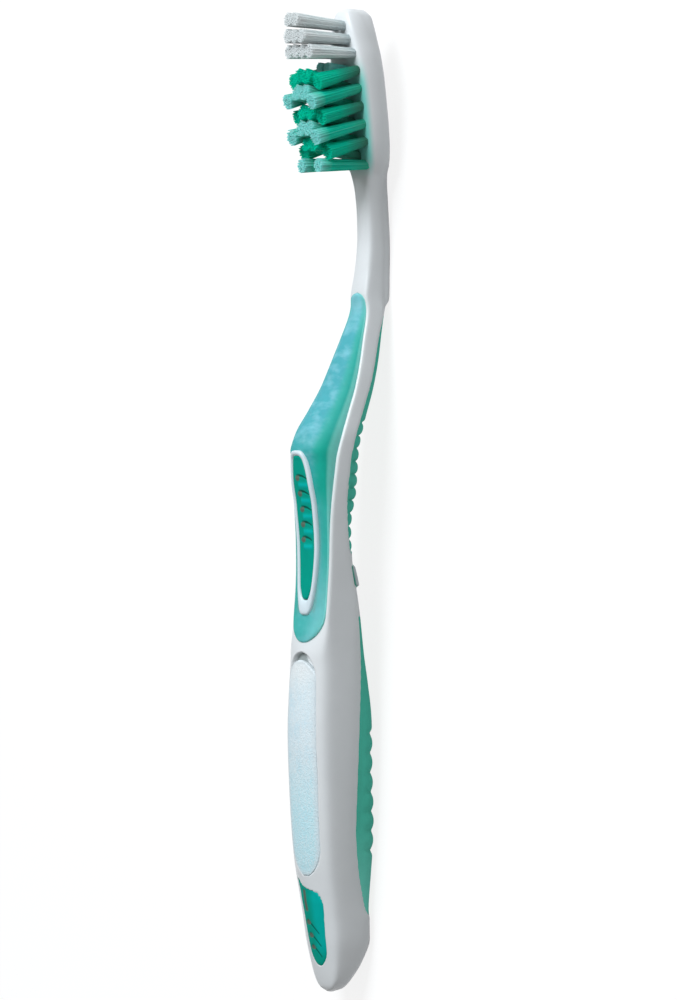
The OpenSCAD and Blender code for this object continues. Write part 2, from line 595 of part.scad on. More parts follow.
// Ring round the thumb pad, on the insert
ring_x0 = thumb_at(0.147);
ring_x1 = thumb_at(0.983);
ring_half_rows = [
    [ring_x0, 0.19 * thumb_w], [thumb_at(0.3), 0.23 * thumb_w],
    [thumb_at(0.5), 0.265 * thumb_w], [thumb_at(0.68), 0.275 * thumb_w],
    [thumb_at(0.82), 0.27 * thumb_w], [thumb_at(0.93), 0.255 * thumb_w],
    [ring_x1, 0.24 * thumb_w]];
// The ring's middle line keeps to the far side, more so at its lower end
ring_middle_rows = [
    [ring_x0, 0.075 * thumb_w], [thumb_at(0.3), 0.065 * thumb_w],
    [thumb_at(0.5), 0.042 * thumb_w], [thumb_at(0.8), 0.036 * thumb_w],
    [ring_x1, 0.045 * thumb_w]];
function ring_middle(x) = curve(ring_middle_rows, x);
ring_end_power = 4;
ring_steps = 40;
function ring_point(angle, inset) =
    let (half = (ring_x1 - ring_x0) / 2 - inset, middle = mid(ring_x0, ring_x1),
         along = sign(cos(angle)) * pow(abs(cos(angle)), 2 / ring_end_power),
         over = sign(sin(angle)) * pow(abs(sin(angle)), 2 / ring_end_power),
         x = middle + half * along)
    [x, ring_middle(x) + (curve(ring_half_rows, x) - inset) * over];
function ring_half(x, inset) =
    let (half = (ring_x1 - ring_x0) / 2 - inset,
         share = min(1, abs(x - mid(ring_x0, ring_x1)) / half))
    (curve(ring_half_rows, x) - inset) * pow(1 - pow(share, ring_end_power), 1 / ring_end_power);
// Each section of the bead: [how far in from the outline, how far up]
bead_shares = [[0, 0], [0.04, 0.55], [0.3, 0.95], [0.7, 0.95], [0.97, 0.6], [1, 0]];
module thumb_ring() {
    n = len(bead_shares);
    points = [for (i = [0 : ring_steps - 1]) each [for (b = bead_shares)
        let (p = ring_point(360 * i / ring_steps, b[0] * ring_w))
        at(p[0], p[1], insert_z(p[0], p[1]) + b[1] * ring_proud)]];
    faces = [for (i = [0 : ring_steps - 1], k = [0 : n - 1])
        let (j = (i + 1) % ring_steps, m = (k + 1) % n,
             a = i * n + k, b = i * n + m, c = j * n + m, d = j * n + k)
        each [[a, b, c], [a, c, d]]];
    color(white_plastic) polyhedron(points = points, faces = faces, convexity = 8);
}

// Thumb pad inside the ring, with ribs across its middle
thumb_rib_pitch = 3;
thumb_rib_x = thumb_at(0.535);
thumb_rib_h = 0.3;
thumb_pad_gap = 0.03;
thumb_pad_end = 0.1;
module thumb_pad() {
    inset = ring_w + thumb_pad_gap;
    places = rib_stations(ring_x0 + inset + thumb_pad_end, ring_x1 - inset - thumb_pad_end,
        thumb_rib_x, thumb_rib_pitch, thumb_ribs, 4);
    color("#00a085") loft([for (x = places)
        let (h = ring_half(x, inset), left = ring_middle(x) + h, right = ring_middle(x) - h,
             rise = thumb_rib_h * wave(x, thumb_rib_x, thumb_rib_pitch, thumb_ribs))
        concat([for (i = [0 : top_steps])
                    let (y = across(left, right, i), share = i > 1 && i < top_steps - 1 ? 1 : 0)
                    at(x, y, insert_z(x, y) + thumb_pad_t + share * rise)],
               [for (i = [top_steps : -2 : 0])
                    let (y = across(left, right, i)) at(x, y, insert_z(x, y))])]);
}

// Back grips: the outside with its grooves, then the pocket's floor
upper_rib_pitch = 2.5;
upper_rib_x = thumb_at(0.512);
lower_rib_pitch = 3.77;
lower_rib_x = panel_at(0.13);
function groove(x, first, pitch, count) =
    x < first - pitch / 2 || x > first + (count - 0.5) * pitch ? 0
    : rib_depth * (1 - wave(x, first, pitch, count));
back_steps = 8;
// The grips' own stations are closer than the core's, so they keep off its walls
grip_gap = 0.06;
module back_grip(x0, x1, first, pitch, count, steps) {
    places = rib_stations(x0 + wall_len, x1 - wall_len, first, pitch, count, steps);
    color("#3f9d86") loft([for (x = places)
        let (h = back_pocket_half(x) - grip_gap, cut = groove(x, first, pitch, count))
        concat([for (i = [back_steps : -1 : 0])
                    let (y = h * cos(180 * i / back_steps), share = i > 0 && i < back_steps ? 1 : 0)
                    at(x, y, back_surface(x, y) + share * cut)],
               reversed(back_floor(x, h, grip_depth - grip_gap)))]);
}
module upper_back_grip() {
    back_grip(upper_x0, upper_x1, upper_rib_x, upper_rib_pitch, upper_ribs, 4);
}
module lower_back_grip() {
    back_grip(lower_x0, lower_x1, lower_rib_x, lower_rib_pitch, lower_ribs, 5);
}

// Lens-shaped boss between the two back grips
boss_proud = 1.1;
module back_boss() {
    color("#b9cfd0") loft([for (x = between(boss_x0 + wall_len, boss_x1 - wall_len))
        let (h = back_pocket_half(x),
             rise = boss_proud * end_share(x, boss_x0, boss_x1, boss_round, boss_round))
        concat([for (i = [back_steps : -1 : 0])
                    let (y = h * cos(180 * i / back_steps))
                    at(x, y, back_surface(x, y) - rise * sin(180 * i / back_steps))],
               reversed(back_floor(x, h, boss_depth)))]);
}

// One strand: a three-sided bar between two places
module strand(foot, tip) {
    r = strand_d / 2;
    ring = [for (i = [0 : 2]) [r * cos(120 * i), r * sin(120 * i), 0]];
    polyhedron(points = concat([for (p = ring) foot + p], [for (p = ring) tip + p]),
        faces = [[0, 1, 2], [5, 4, 3], [0, 3, 4], [0, 4, 1], [1, 4, 5], [1, 5, 2], [2, 5, 3], [2, 3, 0]]);
}
// Rings of strands in a tuft: [how many, radius as a share of the tuft's]
strand_ring_shares = [[1, 0], [4, 0.4], [7, 0.78]];
strand_foot = 0.5;
module tuft(t) {
    r = hole_d / 2;
    slug_h = hole_depth - anchor_h - seat_gap;
    color(t[5]) at_tuft(t) {
        translate([0, 0, -slug_h]) cylinder(r = r - seat_gap, h = slug_h, $fn = hole_sides);
        for (ring = strand_ring_shares, i = [0 : ring[0] - 1])
            let (angle = 360 * (i + ring[1]) / ring[0], out = r * ring[1])
            strand([out * cos(angle), out * sin(angle), -strand_foot],
                   [out * t[6] * cos(angle), out * t[6] * sin(angle), t[4]]);
    }
}

// Metal plates that hold the folded tufts at the bottoms of their holes
module tuft_anchors() {
    w = hole_d - 2 * seat_gap - anchor_t / 2;
    color("#c9b26a") for (t = tufts) at_tuft(t)
        translate([-anchor_t / 2, -w / 2, -hole_depth]) cube([anchor_t, w, anchor_h]);
}

handle_core();
front_insert();
thumb_ring();
thumb_pad();
front_panel();
heel_pad();
upper_back_grip();
back_boss();
lower_back_grip();
tuft_anchors();
for (t = tufts) tuft(t);
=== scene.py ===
"""A manual toothbrush lying on its back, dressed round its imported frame.

Sizes inside the classes are in millimetres, and meshes are written in metres.
+X runs from the heel of the handle to the tip of the head, +Z is the side that
the bristles stand out of, and +Y runs across the brush, away from the camera.
Places along the brush are distances from the heel.
"""
import json
import logging
import math
from collections import Counter
from dataclasses import dataclass, field
from enum import Enum
from functools import partial
from typing import Any, Callable

import bpy
import numpy as np
from mathutils import Matrix, Vector

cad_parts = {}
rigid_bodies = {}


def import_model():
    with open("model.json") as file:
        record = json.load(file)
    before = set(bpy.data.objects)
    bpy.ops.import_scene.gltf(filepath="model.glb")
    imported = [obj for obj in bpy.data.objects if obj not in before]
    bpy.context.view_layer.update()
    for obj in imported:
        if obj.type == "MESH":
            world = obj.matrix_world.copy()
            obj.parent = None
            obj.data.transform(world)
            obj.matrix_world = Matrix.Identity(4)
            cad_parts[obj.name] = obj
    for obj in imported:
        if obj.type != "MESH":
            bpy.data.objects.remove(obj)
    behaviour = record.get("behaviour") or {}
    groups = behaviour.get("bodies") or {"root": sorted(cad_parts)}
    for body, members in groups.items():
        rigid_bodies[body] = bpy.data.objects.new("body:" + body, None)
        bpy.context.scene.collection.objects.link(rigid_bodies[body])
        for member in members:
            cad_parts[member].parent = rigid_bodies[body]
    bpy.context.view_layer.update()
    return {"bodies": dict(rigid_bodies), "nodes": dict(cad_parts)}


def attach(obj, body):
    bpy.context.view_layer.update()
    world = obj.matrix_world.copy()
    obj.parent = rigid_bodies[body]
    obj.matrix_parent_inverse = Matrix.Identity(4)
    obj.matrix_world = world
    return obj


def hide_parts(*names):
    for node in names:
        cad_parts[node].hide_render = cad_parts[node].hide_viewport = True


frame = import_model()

LOG = logging.getLogger("toothbrush")
MM = 0.001
BODY = next(iter(frame["bodies"]))
TINY = 1e-9
GOLDEN_ANGLE = math.pi * (3 - math.sqrt(5))
MATH = "ShaderNodeMath"
VECTOR = "ShaderNodeVectorMath"
REMAP = "ShaderNodeMapRange"
STORE = "GeometryNodeStoreNamedAttribute"
Row = tuple[float, float]
Face = tuple[int, ...]
Grid = np.ndarray
Adder = Callable[..., Any]


def linear(hex_code: str) -> tuple[float, float, float, float]:
    """Turn an sRGB hex colour into the linear colour that shaders take.

    Args:
        hex_code: Six hex digits after a hash.

    Returns:
        Red, green, blue and an alpha of one.
    """
    shares = [int(hex_code[i:i + 2], 16) / 255 for i in (1, 3, 5)]
    low = [s / 12.92 if s <= 0.04045 else ((s + 0.055) / 1.055) ** 2.4 for s in shares]
    return (low[0], low[1], low[2], 1.0)


def add_node(tree: bpy.types.NodeTree, kind: str, inputs: Any = (),
             out: int | str | None = 0, **settings: Any) -> Any:
    """Add a node to a tree, with its settings and its links.

    Args:
        tree: The shader or geometry tree.
        kind: The node's type name.
        inputs: Constants, or sockets to link, in order or by the input's name or number.
        out: The output to return, or None for the node itself.
        **settings: Properties of the node.

    Returns:
        The output that the next node links to, or the node.
    """
    node = tree.nodes.new(kind)
    for name, value in settings.items():
        setattr(node, name, value)
    for key, value in inputs.items() if isinstance(inputs, dict) else enumerate(inputs):
        if isinstance(value, bpy.types.NodeSocket):
            tree.links.new(value, node.inputs[key])
        else:
            node.inputs[key].default_value = value
    return node if out is None else node.outputs[out]


class Profile:
    """A smooth curve through rows of place and value, which never overshoots a row."""

    def __init__(self, *rows: Row) -> None:
        """Keep the rows and work out the slope at each.

        Args:
            *rows: Place and value, in the order of the places.
        """
        self.places = np.array([r[0] for r in rows])
        self.values = np.array([r[1] for r in rows])
        slopes = np.diff(self.values) / np.diff(self.places)
        before, after = slopes[:-1], slopes[1:]
        turning = before * after <= 0
        total = np.where(turning, 1.0, before + after)
        inner = np.where(turning, 0.0, 2 * before * after / total)
        self.slopes = np.concatenate([slopes[:1], inner, slopes[-1:]])

    def __call__(self, x: Grid | float) -> Grid:
        """Read the curve, which is level past both ends.

        Args:
            x: Places along the brush.

        Returns:
            The curve's value at each.
        """
        x = np.asarray(x, float)
        i = np.clip(np.searchsorted(self.places, x) - 1, 0, len(self.places) - 2)
        span = self.places[i + 1] - self.places[i]
        t = np.clip((x - self.places[i]) / span, 0, 1)
        a, b = self.values[i], self.values[i + 1]
        ta, tb = self.slopes[i] * span, self.slopes[i + 1] * span
        return (a * (1 + 2 * t) * (1 - t) ** 2 + ta * t * (1 - t) ** 2
                + b * t * t * (3 - 2 * t) - tb * t * t * (1 - t))


def zone_rows(place: Callable[[float], float], size: float, *rows: Row,
              base: Callable[[float], float] | None = None) -> list[Row]:
    """Rows of a profile that lie in one zone of the brush.

    Args:
        place: Gives the place at a share of the zone.
        size: The size that the values are shares of.
        *rows: Share of the zone, and share of the size.
        base: Gives the height at a share of the zone that the values stand on.

    Returns:
        Rows of place and value.
    """
    return [(place(at), value * size + (base(at) if base else 0)) for at, value in rows]


def smooth(t: Grid | float) -> Grid:
    """Ease from 0 to 1 as t goes from 0 to 1."""
    t = np.clip(t, 0, 1)
    return t * t * (3 - 2 * t)


def between(share: Grid, low: float, high: float) -> Grid:
    """Value at a share of the way from low to high."""
    return low + (high - low) * share


def rounded_edge(distance: Grid, radius: float) -> Grid:
    """Rise from 0 to 1 over a quarter circle, by the distance from an edge."""
    return np.sqrt(np.clip(1 - (1 - np.clip(distance / radius, 0, 1)) ** 2, 0, 1))


def end_share(x: Grid, x0: float, x1: float, r0: float, r1: float, least: float) -> Grid:
    """Share of its full width that an outline with two round ends has at x.

    Args:
        x: Places along the brush.
        x0: Lower end of the outline.
        x1: Upper end of the outline.
        r0: Length of the lower rounding.
        r1: Length of the upper rounding.
        least: Share that the outline never closes below.

    Returns:
        A share for each place.
    """
    a = np.clip((x - x0) / r0, 0, 1)
    b = np.clip((x1 - x) / r1, 0, 1)
    lower = np.maximum(least, np.sqrt(np.clip(1 - (1 - a) ** 2, 0, 1)))
    upper = np.maximum(least, np.sqrt(np.clip(1 - (1 - b) ** 2, 0, 1)))
    return lower * upper


def eased_steps(x0: float, x1: float, step: float, end: float) -> Grid:
    """Places from x0 to x1 that crowd together towards both ends.

    Args:
        x0: First place.
        x1: Last place.
        step: Gap between places away from the ends.
        end: Length of each end in which the gaps shrink.

    Returns:
        The places in order.
    """
    count = max(4, int(math.ceil(2 * end / step)))
    ease = end * (1 - np.cos(np.linspace(0, math.pi / 2, count)))
    middle = np.linspace(x0 + end, x1 - end, max(2, int((x1 - x0 - 2 * end) / step)))
    return np.concatenate([x0 + ease[:-1], middle, (x1 - ease[::-1])[1:]])


@dataclass(frozen=True)
class BrushForm:
    """The outlines and sections of the moulded handle."""

    heel_len: float = 24.0
    panel_len: float = 43.0
    thumb_len: float = 38.0
    throat_len: float = 28.5
    neck_len: float = 25.0
    head_len: float = 31.5
    handle_w: float = 14.2
    thumb_w: float = 13.9
    neck_w: float = 5.2
    head_w: float = 12.4
    panel_h: float = 15.3
    rim_h: float = 14.4
    grip_h: float = 14.8
    crest_h: float = 18.1
    arch_h: float = 8.8
    belly_h: float = 2.3
    neck_h: float = 5.5
    head_lift: float = 1.8
    head_t: float = 6.5
    rest_flat: float = 0.12
    head_tilt: float = 9.0
    panel_crown: float = 1.1
    rim_w: float = 0.4
    back_edge: float = 0.25
    most_rounding: float = 0.05
    ring_points: int = 176
    front_points: int = 28
    side_points: int = 30
    back_points: int = 46
    profiles: dict[str, Profile] = field(default_factory=dict)

    def __post_init__(self) -> None:
        """Lay the smooth curves through the rows of each outline."""
        heel, panel, thumb = self.heel_at, self.panel_at, self.thumb_at
        throat, neck, head = self.throat_at, self.neck_at, self.head_at
        hw, tw, nw, dw = self.handle_w, self.thumb_w, self.neck_w, self.head_w
        ph, rh, ah, bh, nh, ht = (self.panel_h, self.rim_h, self.arch_h, self.belly_h,
                                  self.neck_h, self.head_t)
        back = self.head_back
        self.profiles["half_width"] = Profile(
            *zone_rows(heel, hw, (0, 0.05), (0.03, 0.17), (0.1, 0.285), (0.25, 0.37),
                       (0.45, 0.435), (0.8, 0.46)),
            *zone_rows(panel, hw, (0.15, 0.49), (0.45, 0.5), (0.75, 0.48)),
            *zone_rows(thumb, tw, (0, 0.46), (0.25, 0.455), (0.5, 0.47), (0.9, 0.5)),
            *zone_rows(throat, tw, (0.08, 0.495), (0.25, 0.45), (0.5, 0.385), (0.75, 0.3),
                       (0.95, 0.24)),
            *zone_rows(neck, nw, (0.08, 0.56), (0.3, 0.51), (0.65, 0.5), (0.85, 0.54)),
            *zone_rows(head, dw, (0, 0.29), (0.05, 0.37), (0.1, 0.42), (0.2, 0.475),
                       (0.35, 0.5), (0.55, 0.495), (0.7, 0.455), (0.8, 0.385), (0.88, 0.32),
                       (0.94, 0.245), (0.98, 0.165), (1, 0.08)))
        self.profiles["front_rim"] = Profile(
            *zone_rows(heel, ph, (0, 0.42), (0.03, 0.46), (0.1, 0.49), (0.25, 0.54),
                       (0.7, 0.68)),
            *zone_rows(panel, ph, (0.05, 0.8), (0.35, 0.9), (0.7, 0.975), (0.94, 0.98)),
            *zone_rows(thumb, rh, (0.13, 0.985), (0.35, 0.97), (0.66, 0.993), (0.94, 0.95)),
            *zone_rows(throat, rh, (0.08, 0.88), (0.25, 0.76), (0.42, 0.64), (0.75, 0.48)),
            *zone_rows(throat, nh, (0.96, 1.06)),
            *zone_rows(neck, nh, (0.06, 1.12), (0.25, 1.04), (0.45, 1), (0.7, 1.08)),
            *zone_rows(head, ht, (0, 0.82), (0.12, 0.9), (0.3, 0.93), (0.6, 0.97), (0.85, 1),
                       (0.93, 0.98), (0.98, 0.89), (1, 0.7), base=back))
        self.profiles["back_rim"] = Profile(
            *zone_rows(heel, ph, (0, 0.38), (0.03, 0.3), (0.1, 0.235), (0.25, 0.14),
                       (0.42, 0.1)),
            *zone_rows(heel, bh, (0.6, 0.55), (0.68, 1.2), (0.8, 1.65)),
            *zone_rows(panel, bh, (0, 2.2), (0.2, 2.7), (0.5, 2.75), (0.9, 2.7)),
            *zone_rows(thumb, ah, (0.15, 0.79), (0.28, 0.88), (0.42, 1.03), (0.62, 1.19),
                       (0.76, 1.24), (0.95, 1.19)),
            *zone_rows(throat, ah, (0.1, 1.07), (0.25, 0.89), (0.5, 0.6), (0.75, 0.4),
                       (0.98, 0.22)),
            *zone_rows(neck, nh, (0.08, 0.4), (0.35, 0.36), (0.7, 0.5)),
            *zone_rows(head, ht, (0, 0.26), (0.3, 0.3), (0.85, 0.34), (0.98, 0.42), (1, 0.5),
                       base=back))
        self.profiles["back"] = Profile(
            *zone_rows(heel, ph, (0, 0.35), (0.03, 0.25), (0.1, 0.175), (0.25, 0.065),
                       (0.42, 0), (0.5, 0.02)),
            *zone_rows(heel, bh, (0.62, 0.3)),
            *zone_rows(panel, bh, (0.05, 0.12), (0.2, 0.2), (0.5, 0.65), (0.66, 0.75),
                       (0.85, 1.35)),
            *zone_rows(thumb, ah, (0.05, 0.57), (0.25, 0.75), (0.44, 0.93), (0.62, 0.97),
                       (0.8, 0.85)),
            *zone_rows(throat, ah, (0, 0.84), (0.15, 0.75), (0.4, 0.5), (0.65, 0.31),
                       (0.97, 0.14)),
            *zone_rows(neck, nh, (0.03, 0.02), (0.06, 0), (0.28, 0), (0.45, 0.02), (0.8, 0.17)),
            *zone_rows(head, ht, (0, 0), (0.3, -0.01), (0.6, -0.035), (0.85, -0.06),
                       (0.95, -0.07), (1, 0.1), base=back))
        self.profiles["front_bevel"] = Profile(
            *zone_rows(heel, hw, (0, 0.01), (0.1, 0.05), (0.7, 0.1)),
            *zone_rows(panel, hw, (0.1, 0.08), (0.9, 0.09)),
            *zone_rows(thumb, hw, (0, 0.06)),
            *zone_rows(thumb, tw, (0.2, 0.02)),
            *zone_rows(throat, tw, (0.1, 0.02), (0.9, 0.025)),
            *zone_rows(neck, nw, (0.15, 0.09)),
            *zone_rows(head, dw, (0, 0.04), (0.9, 0.035), (1, 0.01)))
        self.profiles["side_power"] = Profile(
            *zone_rows(heel, 1, (0, 2.6)),
            *zone_rows(panel, 1, (0.85, 2.6)),
            *zone_rows(thumb, 1, (0.25, 4.0)),
            *zone_rows(throat, 1, (0.9, 4.0)),
            *zone_rows(neck, 1, (0.3, 3.0)),
            *zone_rows(head, 1, (0.1, 2.6), (1, 2.6)))
        self.profiles["back_bevel"] = Profile(
            *zone_rows(heel, hw, (0, 0.01), (0.1, 0.06), (0.4, 0.03)),
            *zone_rows(panel, hw, (0.5, 0.025)),
            *zone_rows(thumb, tw, (0.5, 0.03)),
            *zone_rows(throat, tw, (0.9, 0.025)),
            *zone_rows(neck, nw, (0.15, 0.02)),
            *zone_rows(head, dw, (0.2, 0.03), (0.9, 0.03), (1, 0.01)))
        self.profiles["front_crown"] = Profile(
            *zone_rows(heel, self.panel_crown, (0, 0.1), (0.15, 0.4), (0.8, 1)),
            *zone_rows(panel, self.panel_crown, (0.9, 1)),
            *zone_rows(thumb, self.panel_crown, (0.06, 0.5), (0.15, 0.1)),
            *zone_rows(neck, self.panel_crown, (0, 0.1), (0.3, 0.3)),
            *zone_rows(head, self.panel_crown, (0, 0.1), (1, 0.1)))
        self.profiles["back_power"] = Profile(
            *zone_rows(heel, 1, (0, 2.6), (0.3, 3.2), (0.45, 4.2)),
            *zone_rows(panel, 1, (0, 4.8)),
            *zone_rows(thumb, 1, (0, 4.8), (0.5, 3.6)),
            *zone_rows(throat, 1, (0.5, 3.6)),
            *zone_rows(neck, 1, (0.2, 4.6)),
            *zone_rows(head, 1, (0.3, 4), (1, 3)))
        # How far round the moulded corners run, measured along the section
        self.profiles["softness"] = Profile(
            *zone_rows(heel, 1, (0, 0.3), (0.15, 0.7), (0.5, 1.0)),
            *zone_rows(panel, 1, (0.4, 1.15), (0.92, 1.0)),
            *zone_rows(thumb, 1, (0.06, 0.5), (0.16, 0.2)),
            *zone_rows(throat, 1, (0.8, 0.15)),
            *zone_rows(neck, 1, (0.06, 0.28), (0.3, 0.45)),
            *zone_rows(head, 1, (0, 0.6), (0.3, 0.8), (0.9, 0.9), (1, 0.5)))

    @property
    def total(self) -> float:
        """Length of the whole brush."""
        return (self.heel_len + self.panel_len + self.thumb_len + self.throat_len
                + self.neck_len + self.head_len)

    def heel_at(self, share: float) -> float:
        """Place at a share of the heel zone."""
        return share * self.heel_len

    def panel_at(self, share: float) -> float:
        """Place at a share of the panel zone."""
        return self.heel_len + share * self.panel_len

    def thumb_at(self, share: float) -> float:
        """Place at a share of the thumb zone."""
        return self.heel_len + self.panel_len + share * self.thumb_len

    def throat_at(self, share: float) -> float:
        """Place at a share of the rise to the neck."""
        return self.thumb_at(1) + share * self.throat_len

    def neck_at(self, share: float) -> float:
        """Place at a share of the neck."""
        return self.throat_at(1) + share * self.neck_len

    def head_at(self, share: float) -> float:
        """Place at a share of the head."""
        return self.neck_at(1) + share * self.head_len

    def head_back(self, share: float) -> float:
        """Height of the head's back at a share of the head."""
        return self.head_lift + share * self.head_len * math.tan(math.radians(self.head_tilt))

    def front_half(self, x: Grid | float) -> Grid:
        """Half width of the flat front."""
        return self.profiles["half_width"](x) - self.profiles["front_bevel"](x)

    def back_half(self, x: Grid | float) -> Grid:
        """Half width at the lower edge of the white side."""
        return self.profiles["half_width"](x) - self.profiles["back_bevel"](x)

    def back_span(self, x: Grid | float) -> Grid:
        """Half width of the curved back."""
        return self.back_half(x) - self.back_edge

    def sharp_rings(self, x: Grid) -> tuple[Grid, Grid, Grid]:
        """Sections of the handle before their corners are rounded.

        Args:
            x: Places along the brush.

        Returns:
            Y and Z of each ring's points, from the middle of the front round to
            itself, and the power that the curve of each ring's back follows.
        """
        p = {name: curve(x)[:, None] for name, curve in self.profiles.items()}
        front_half = self.front_half(x)[:, None]
        back_half = self.back_half(x)[:, None]
        s = np.linspace(0, 1, self.front_points)[None, :]
        y_front = front_half * s
        z_front = p["front_rim"] + p["front_crown"] * (1 - s ** 2)
        s = np.linspace(0, 1, self.side_points)[None, 1:]
        base = front_half * (1 - s) + back_half * s
        bulge = (1 - np.abs(2 * s - 1) ** p["side_power"]) ** (1 / p["side_power"])
        y_side = base + bulge * (p["half_width"] - base)
        z_side = p["front_rim"] * (1 - s) + p["back_rim"] * s
        t = np.linspace(0, math.pi / 2, self.back_points)[None, :]
        power = 2 / p["back_power"]
        y_back = self.back_span(x)[:, None] * np.clip(np.cos(t), 0, 1) ** power
        low = p["back"] - self.rest_flat
        z_back = p["back_rim"] + (low - p["back_rim"]) * np.sin(t) ** power
        y = np.concatenate([y_front, y_side, y_back], 1)
        z = np.concatenate([z_front, z_side, z_back], 1)
        y = np.concatenate([y, -y[:, -2:0:-1], y[:, :1]], 1)
        z = np.concatenate([z, z[:, -2:0:-1], z[:, :1]], 1)
        return y, z, power[:, 0]

    def sections(self, x: Grid, mouth_share: Grid | None = None
                 ) -> tuple[Grid, Grid, Grid, Grid]:
        """Sections of the handle, with their corners rounded.

        Args:
            x: Places along the brush.
            mouth_share: Share of the back's half width at which a back piece ends.

        Returns:
            Y and Z of each ring's points, from the middle of the front, each ring's
            length, and the share of that length at which the back piece's mouth lies.
        """
        x = np.asarray(x, float)
        sharp_y, sharp_z, power = self.sharp_rings(x)
        steps = np.hypot(np.diff(sharp_y, axis=1), np.diff(sharp_z, axis=1))
        along = np.concatenate([np.zeros((len(x), 1)), np.cumsum(steps, 1)], 1)
        lengths = along[:, -1]
        share = np.linspace(0, 1, self.ring_points, endpoint=False)
        waves = np.arange(self.ring_points // 2 + 1)
        rings_y = np.empty((len(x), self.ring_points))
        rings_z = np.empty_like(rings_y)
        mouths = np.full(len(x), 0.5)
        first_back = self.front_points + self.side_points - 1
        softness = self.profiles["softness"](x)
        for i, length in enumerate(lengths):
            spread = min(softness[i], self.most_rounding * length) / length
            keep = np.exp(-2 * (math.pi * spread * waves) ** 2)
            for sharp, out in ((sharp_y, rings_y), (sharp_z, rings_z)):
                even = np.interp(share * length, along[i], sharp[i])
                out[i] = np.fft.irfft(np.fft.rfft(even) * keep, self.ring_points)
            if mouth_share is not None:
                angle = math.acos(min(1.0, float(mouth_share[i])) ** (1 / power[i]))
                index = first_back + angle / (math.pi / 2) * (self.back_points - 1)
                mouths[i] = np.interp(index, np.arange(len(along[i])), along[i]) / length
        return rings_y, np.maximum(rings_z, 0), lengths, mouths

    def front_height(self, x: Grid, y: Grid) -> Grid:
        """Height of the rounded front at places of a grid.

        Args:
            x: One place along the brush for each row.
            y: Places across, one row for each x.

        Returns:
            Heights in the shape of y.
        """
        rings_y, rings_z, _, _ = self.sections(x)
        out = np.empty(y.shape)
        for i in range(len(x)):
            widest = int(np.argmax(rings_y[i])) + 1
            out[i] = np.interp(np.abs(y[i]), rings_y[i, :widest], rings_z[i, :widest])
        return out


FORM = BrushForm()
# Pieces end this far inside their outlines, where these would close to nothing
GAP = 0.01


@dataclass(frozen=True)
class Outline:
    """The outline of a piece let into the front: how far it reaches at each place."""

    x0: float
    x1: float
    round0: float
    round1: float
    edge: Profile
    least: float = 0.03

    def half(self, x: Grid) -> Grid:
        """Half width of the outline at x."""
        full = FORM.front_half(x) - self.edge(x)
        return full * end_share(x, self.x0, self.x1, self.round0, self.round1, self.least)

    def depth(self, x: Grid, y: Grid) -> Grid:
        """How far places lie inside the outline.

        Args:
            x: One place along the brush for each row.
            y: Places across, one row for each x.

        Returns:
            Distances across in the shape of y, and -1 past the outline's ends.
        """
        col = x[:, None]
        return np.where((col > self.x0) & (col < self.x1), self.half(x)[:, None] - np.abs(y), -1)


@dataclass(frozen=True)
class BackOutline:
    """The outline of a piece let into the back, as a share of the back's width."""

    x0: float
    x1: float
    round0: float
    round1: float
    width: float | None = None
    least: float = 0.05

    def mouth_share(self, x: Grid) -> Grid:
        """Share of the back's half width that the piece covers.

        Args:
            x: Places along the brush.

        Returns:
            A share for each place, 0 past the outline's ends.
        """
        share = end_share(x, self.x0, self.x1, self.round0, self.round1, self.least)
        if self.width is not None:
            share = share * self.width / 2 / FORM.back_span(x)
        inside = (x >= self.x0) & (x <= self.x1)
        return np.where(inside, np.clip(share, 0, 1), 0.0)


def outward(points: Grid, faces: list[Face]) -> list[Face]:
    """Turn all the faces of a closed mesh over if they point inwards.

    Args:
        points: The mesh's points.
        faces: Its faces as point numbers.

    Returns:
        The faces, all pointing outwards.
    """
    volume = 0.0
    for face in faces:
        a = points[face[0]]
        for i in range(1, len(face) - 1):
            volume += float(np.dot(a, np.cross(points[face[i]], points[face[i + 1]])))
    return faces if volume > 0 else [tuple(reversed(face)) for face in faces]


def make_mesh(name: str, points: Grid, faces: list[Face],
              shades: dict[str, Grid] | None = None) -> bpy.types.Object:
    """Make an object from points in millimetres.

    Args:
        name: Name of the piece.
        points: Points, from the heel and in millimetres.
        faces: Faces as point numbers.
        shades: Point attributes for the material.

    Returns:
        The linked object, smooth shaded.
    """
    placed = (points - np.array([FORM.total / 2, 0, 0])) * MM
    mesh = bpy.data.meshes.new(name)
    mesh.from_pydata(placed.tolist(), [], outward(points, faces))
    for key, values in (shades or {}).items():
        attribute = mesh.attributes.new(key, "FLOAT", "POINT")
        attribute.data.foreach_set("value", np.asarray(values, np.float32).ravel())
    mesh.polygons.foreach_set("use_smooth", [True] * len(mesh.polygons))
    mesh.update()
    return link_object(name, mesh)


def link_object(name: str, data: Any) -> bpy.types.Object:
    """Make an object of a mesh, lamp or camera and link it to the scene.

    Args:
        name: Name of the object.
        data: What it shows.

    Returns:
        The linked object.
    """
    made = bpy.data.objects.new(name, data)
    bpy.context.scene.collection.objects.link(made)
    return made


def grid_faces(rows: int, columns: int, start: int = 0, close_rows: bool = False,
               close_columns: bool = False) -> list[Face]:
    """Four-sided faces between the points of a grid.

    Args:
        rows: Number of rows of points.
        columns: Number of points in a row.
        start: Number of the grid's first point.
        close_rows: Whether each row closes on itself.
        close_columns: Whether the last row joins the first.

    Returns:
        The faces as point numbers.
    """
    faces = []
    for r in range(rows if close_columns else rows - 1):
        a, b = start + r * columns, start + (r + 1) % rows * columns
        for c in range(columns if close_rows else columns - 1):
            d = (c + 1) % columns
            faces.append((a + c, a + d, b + d, b + c))
    return faces


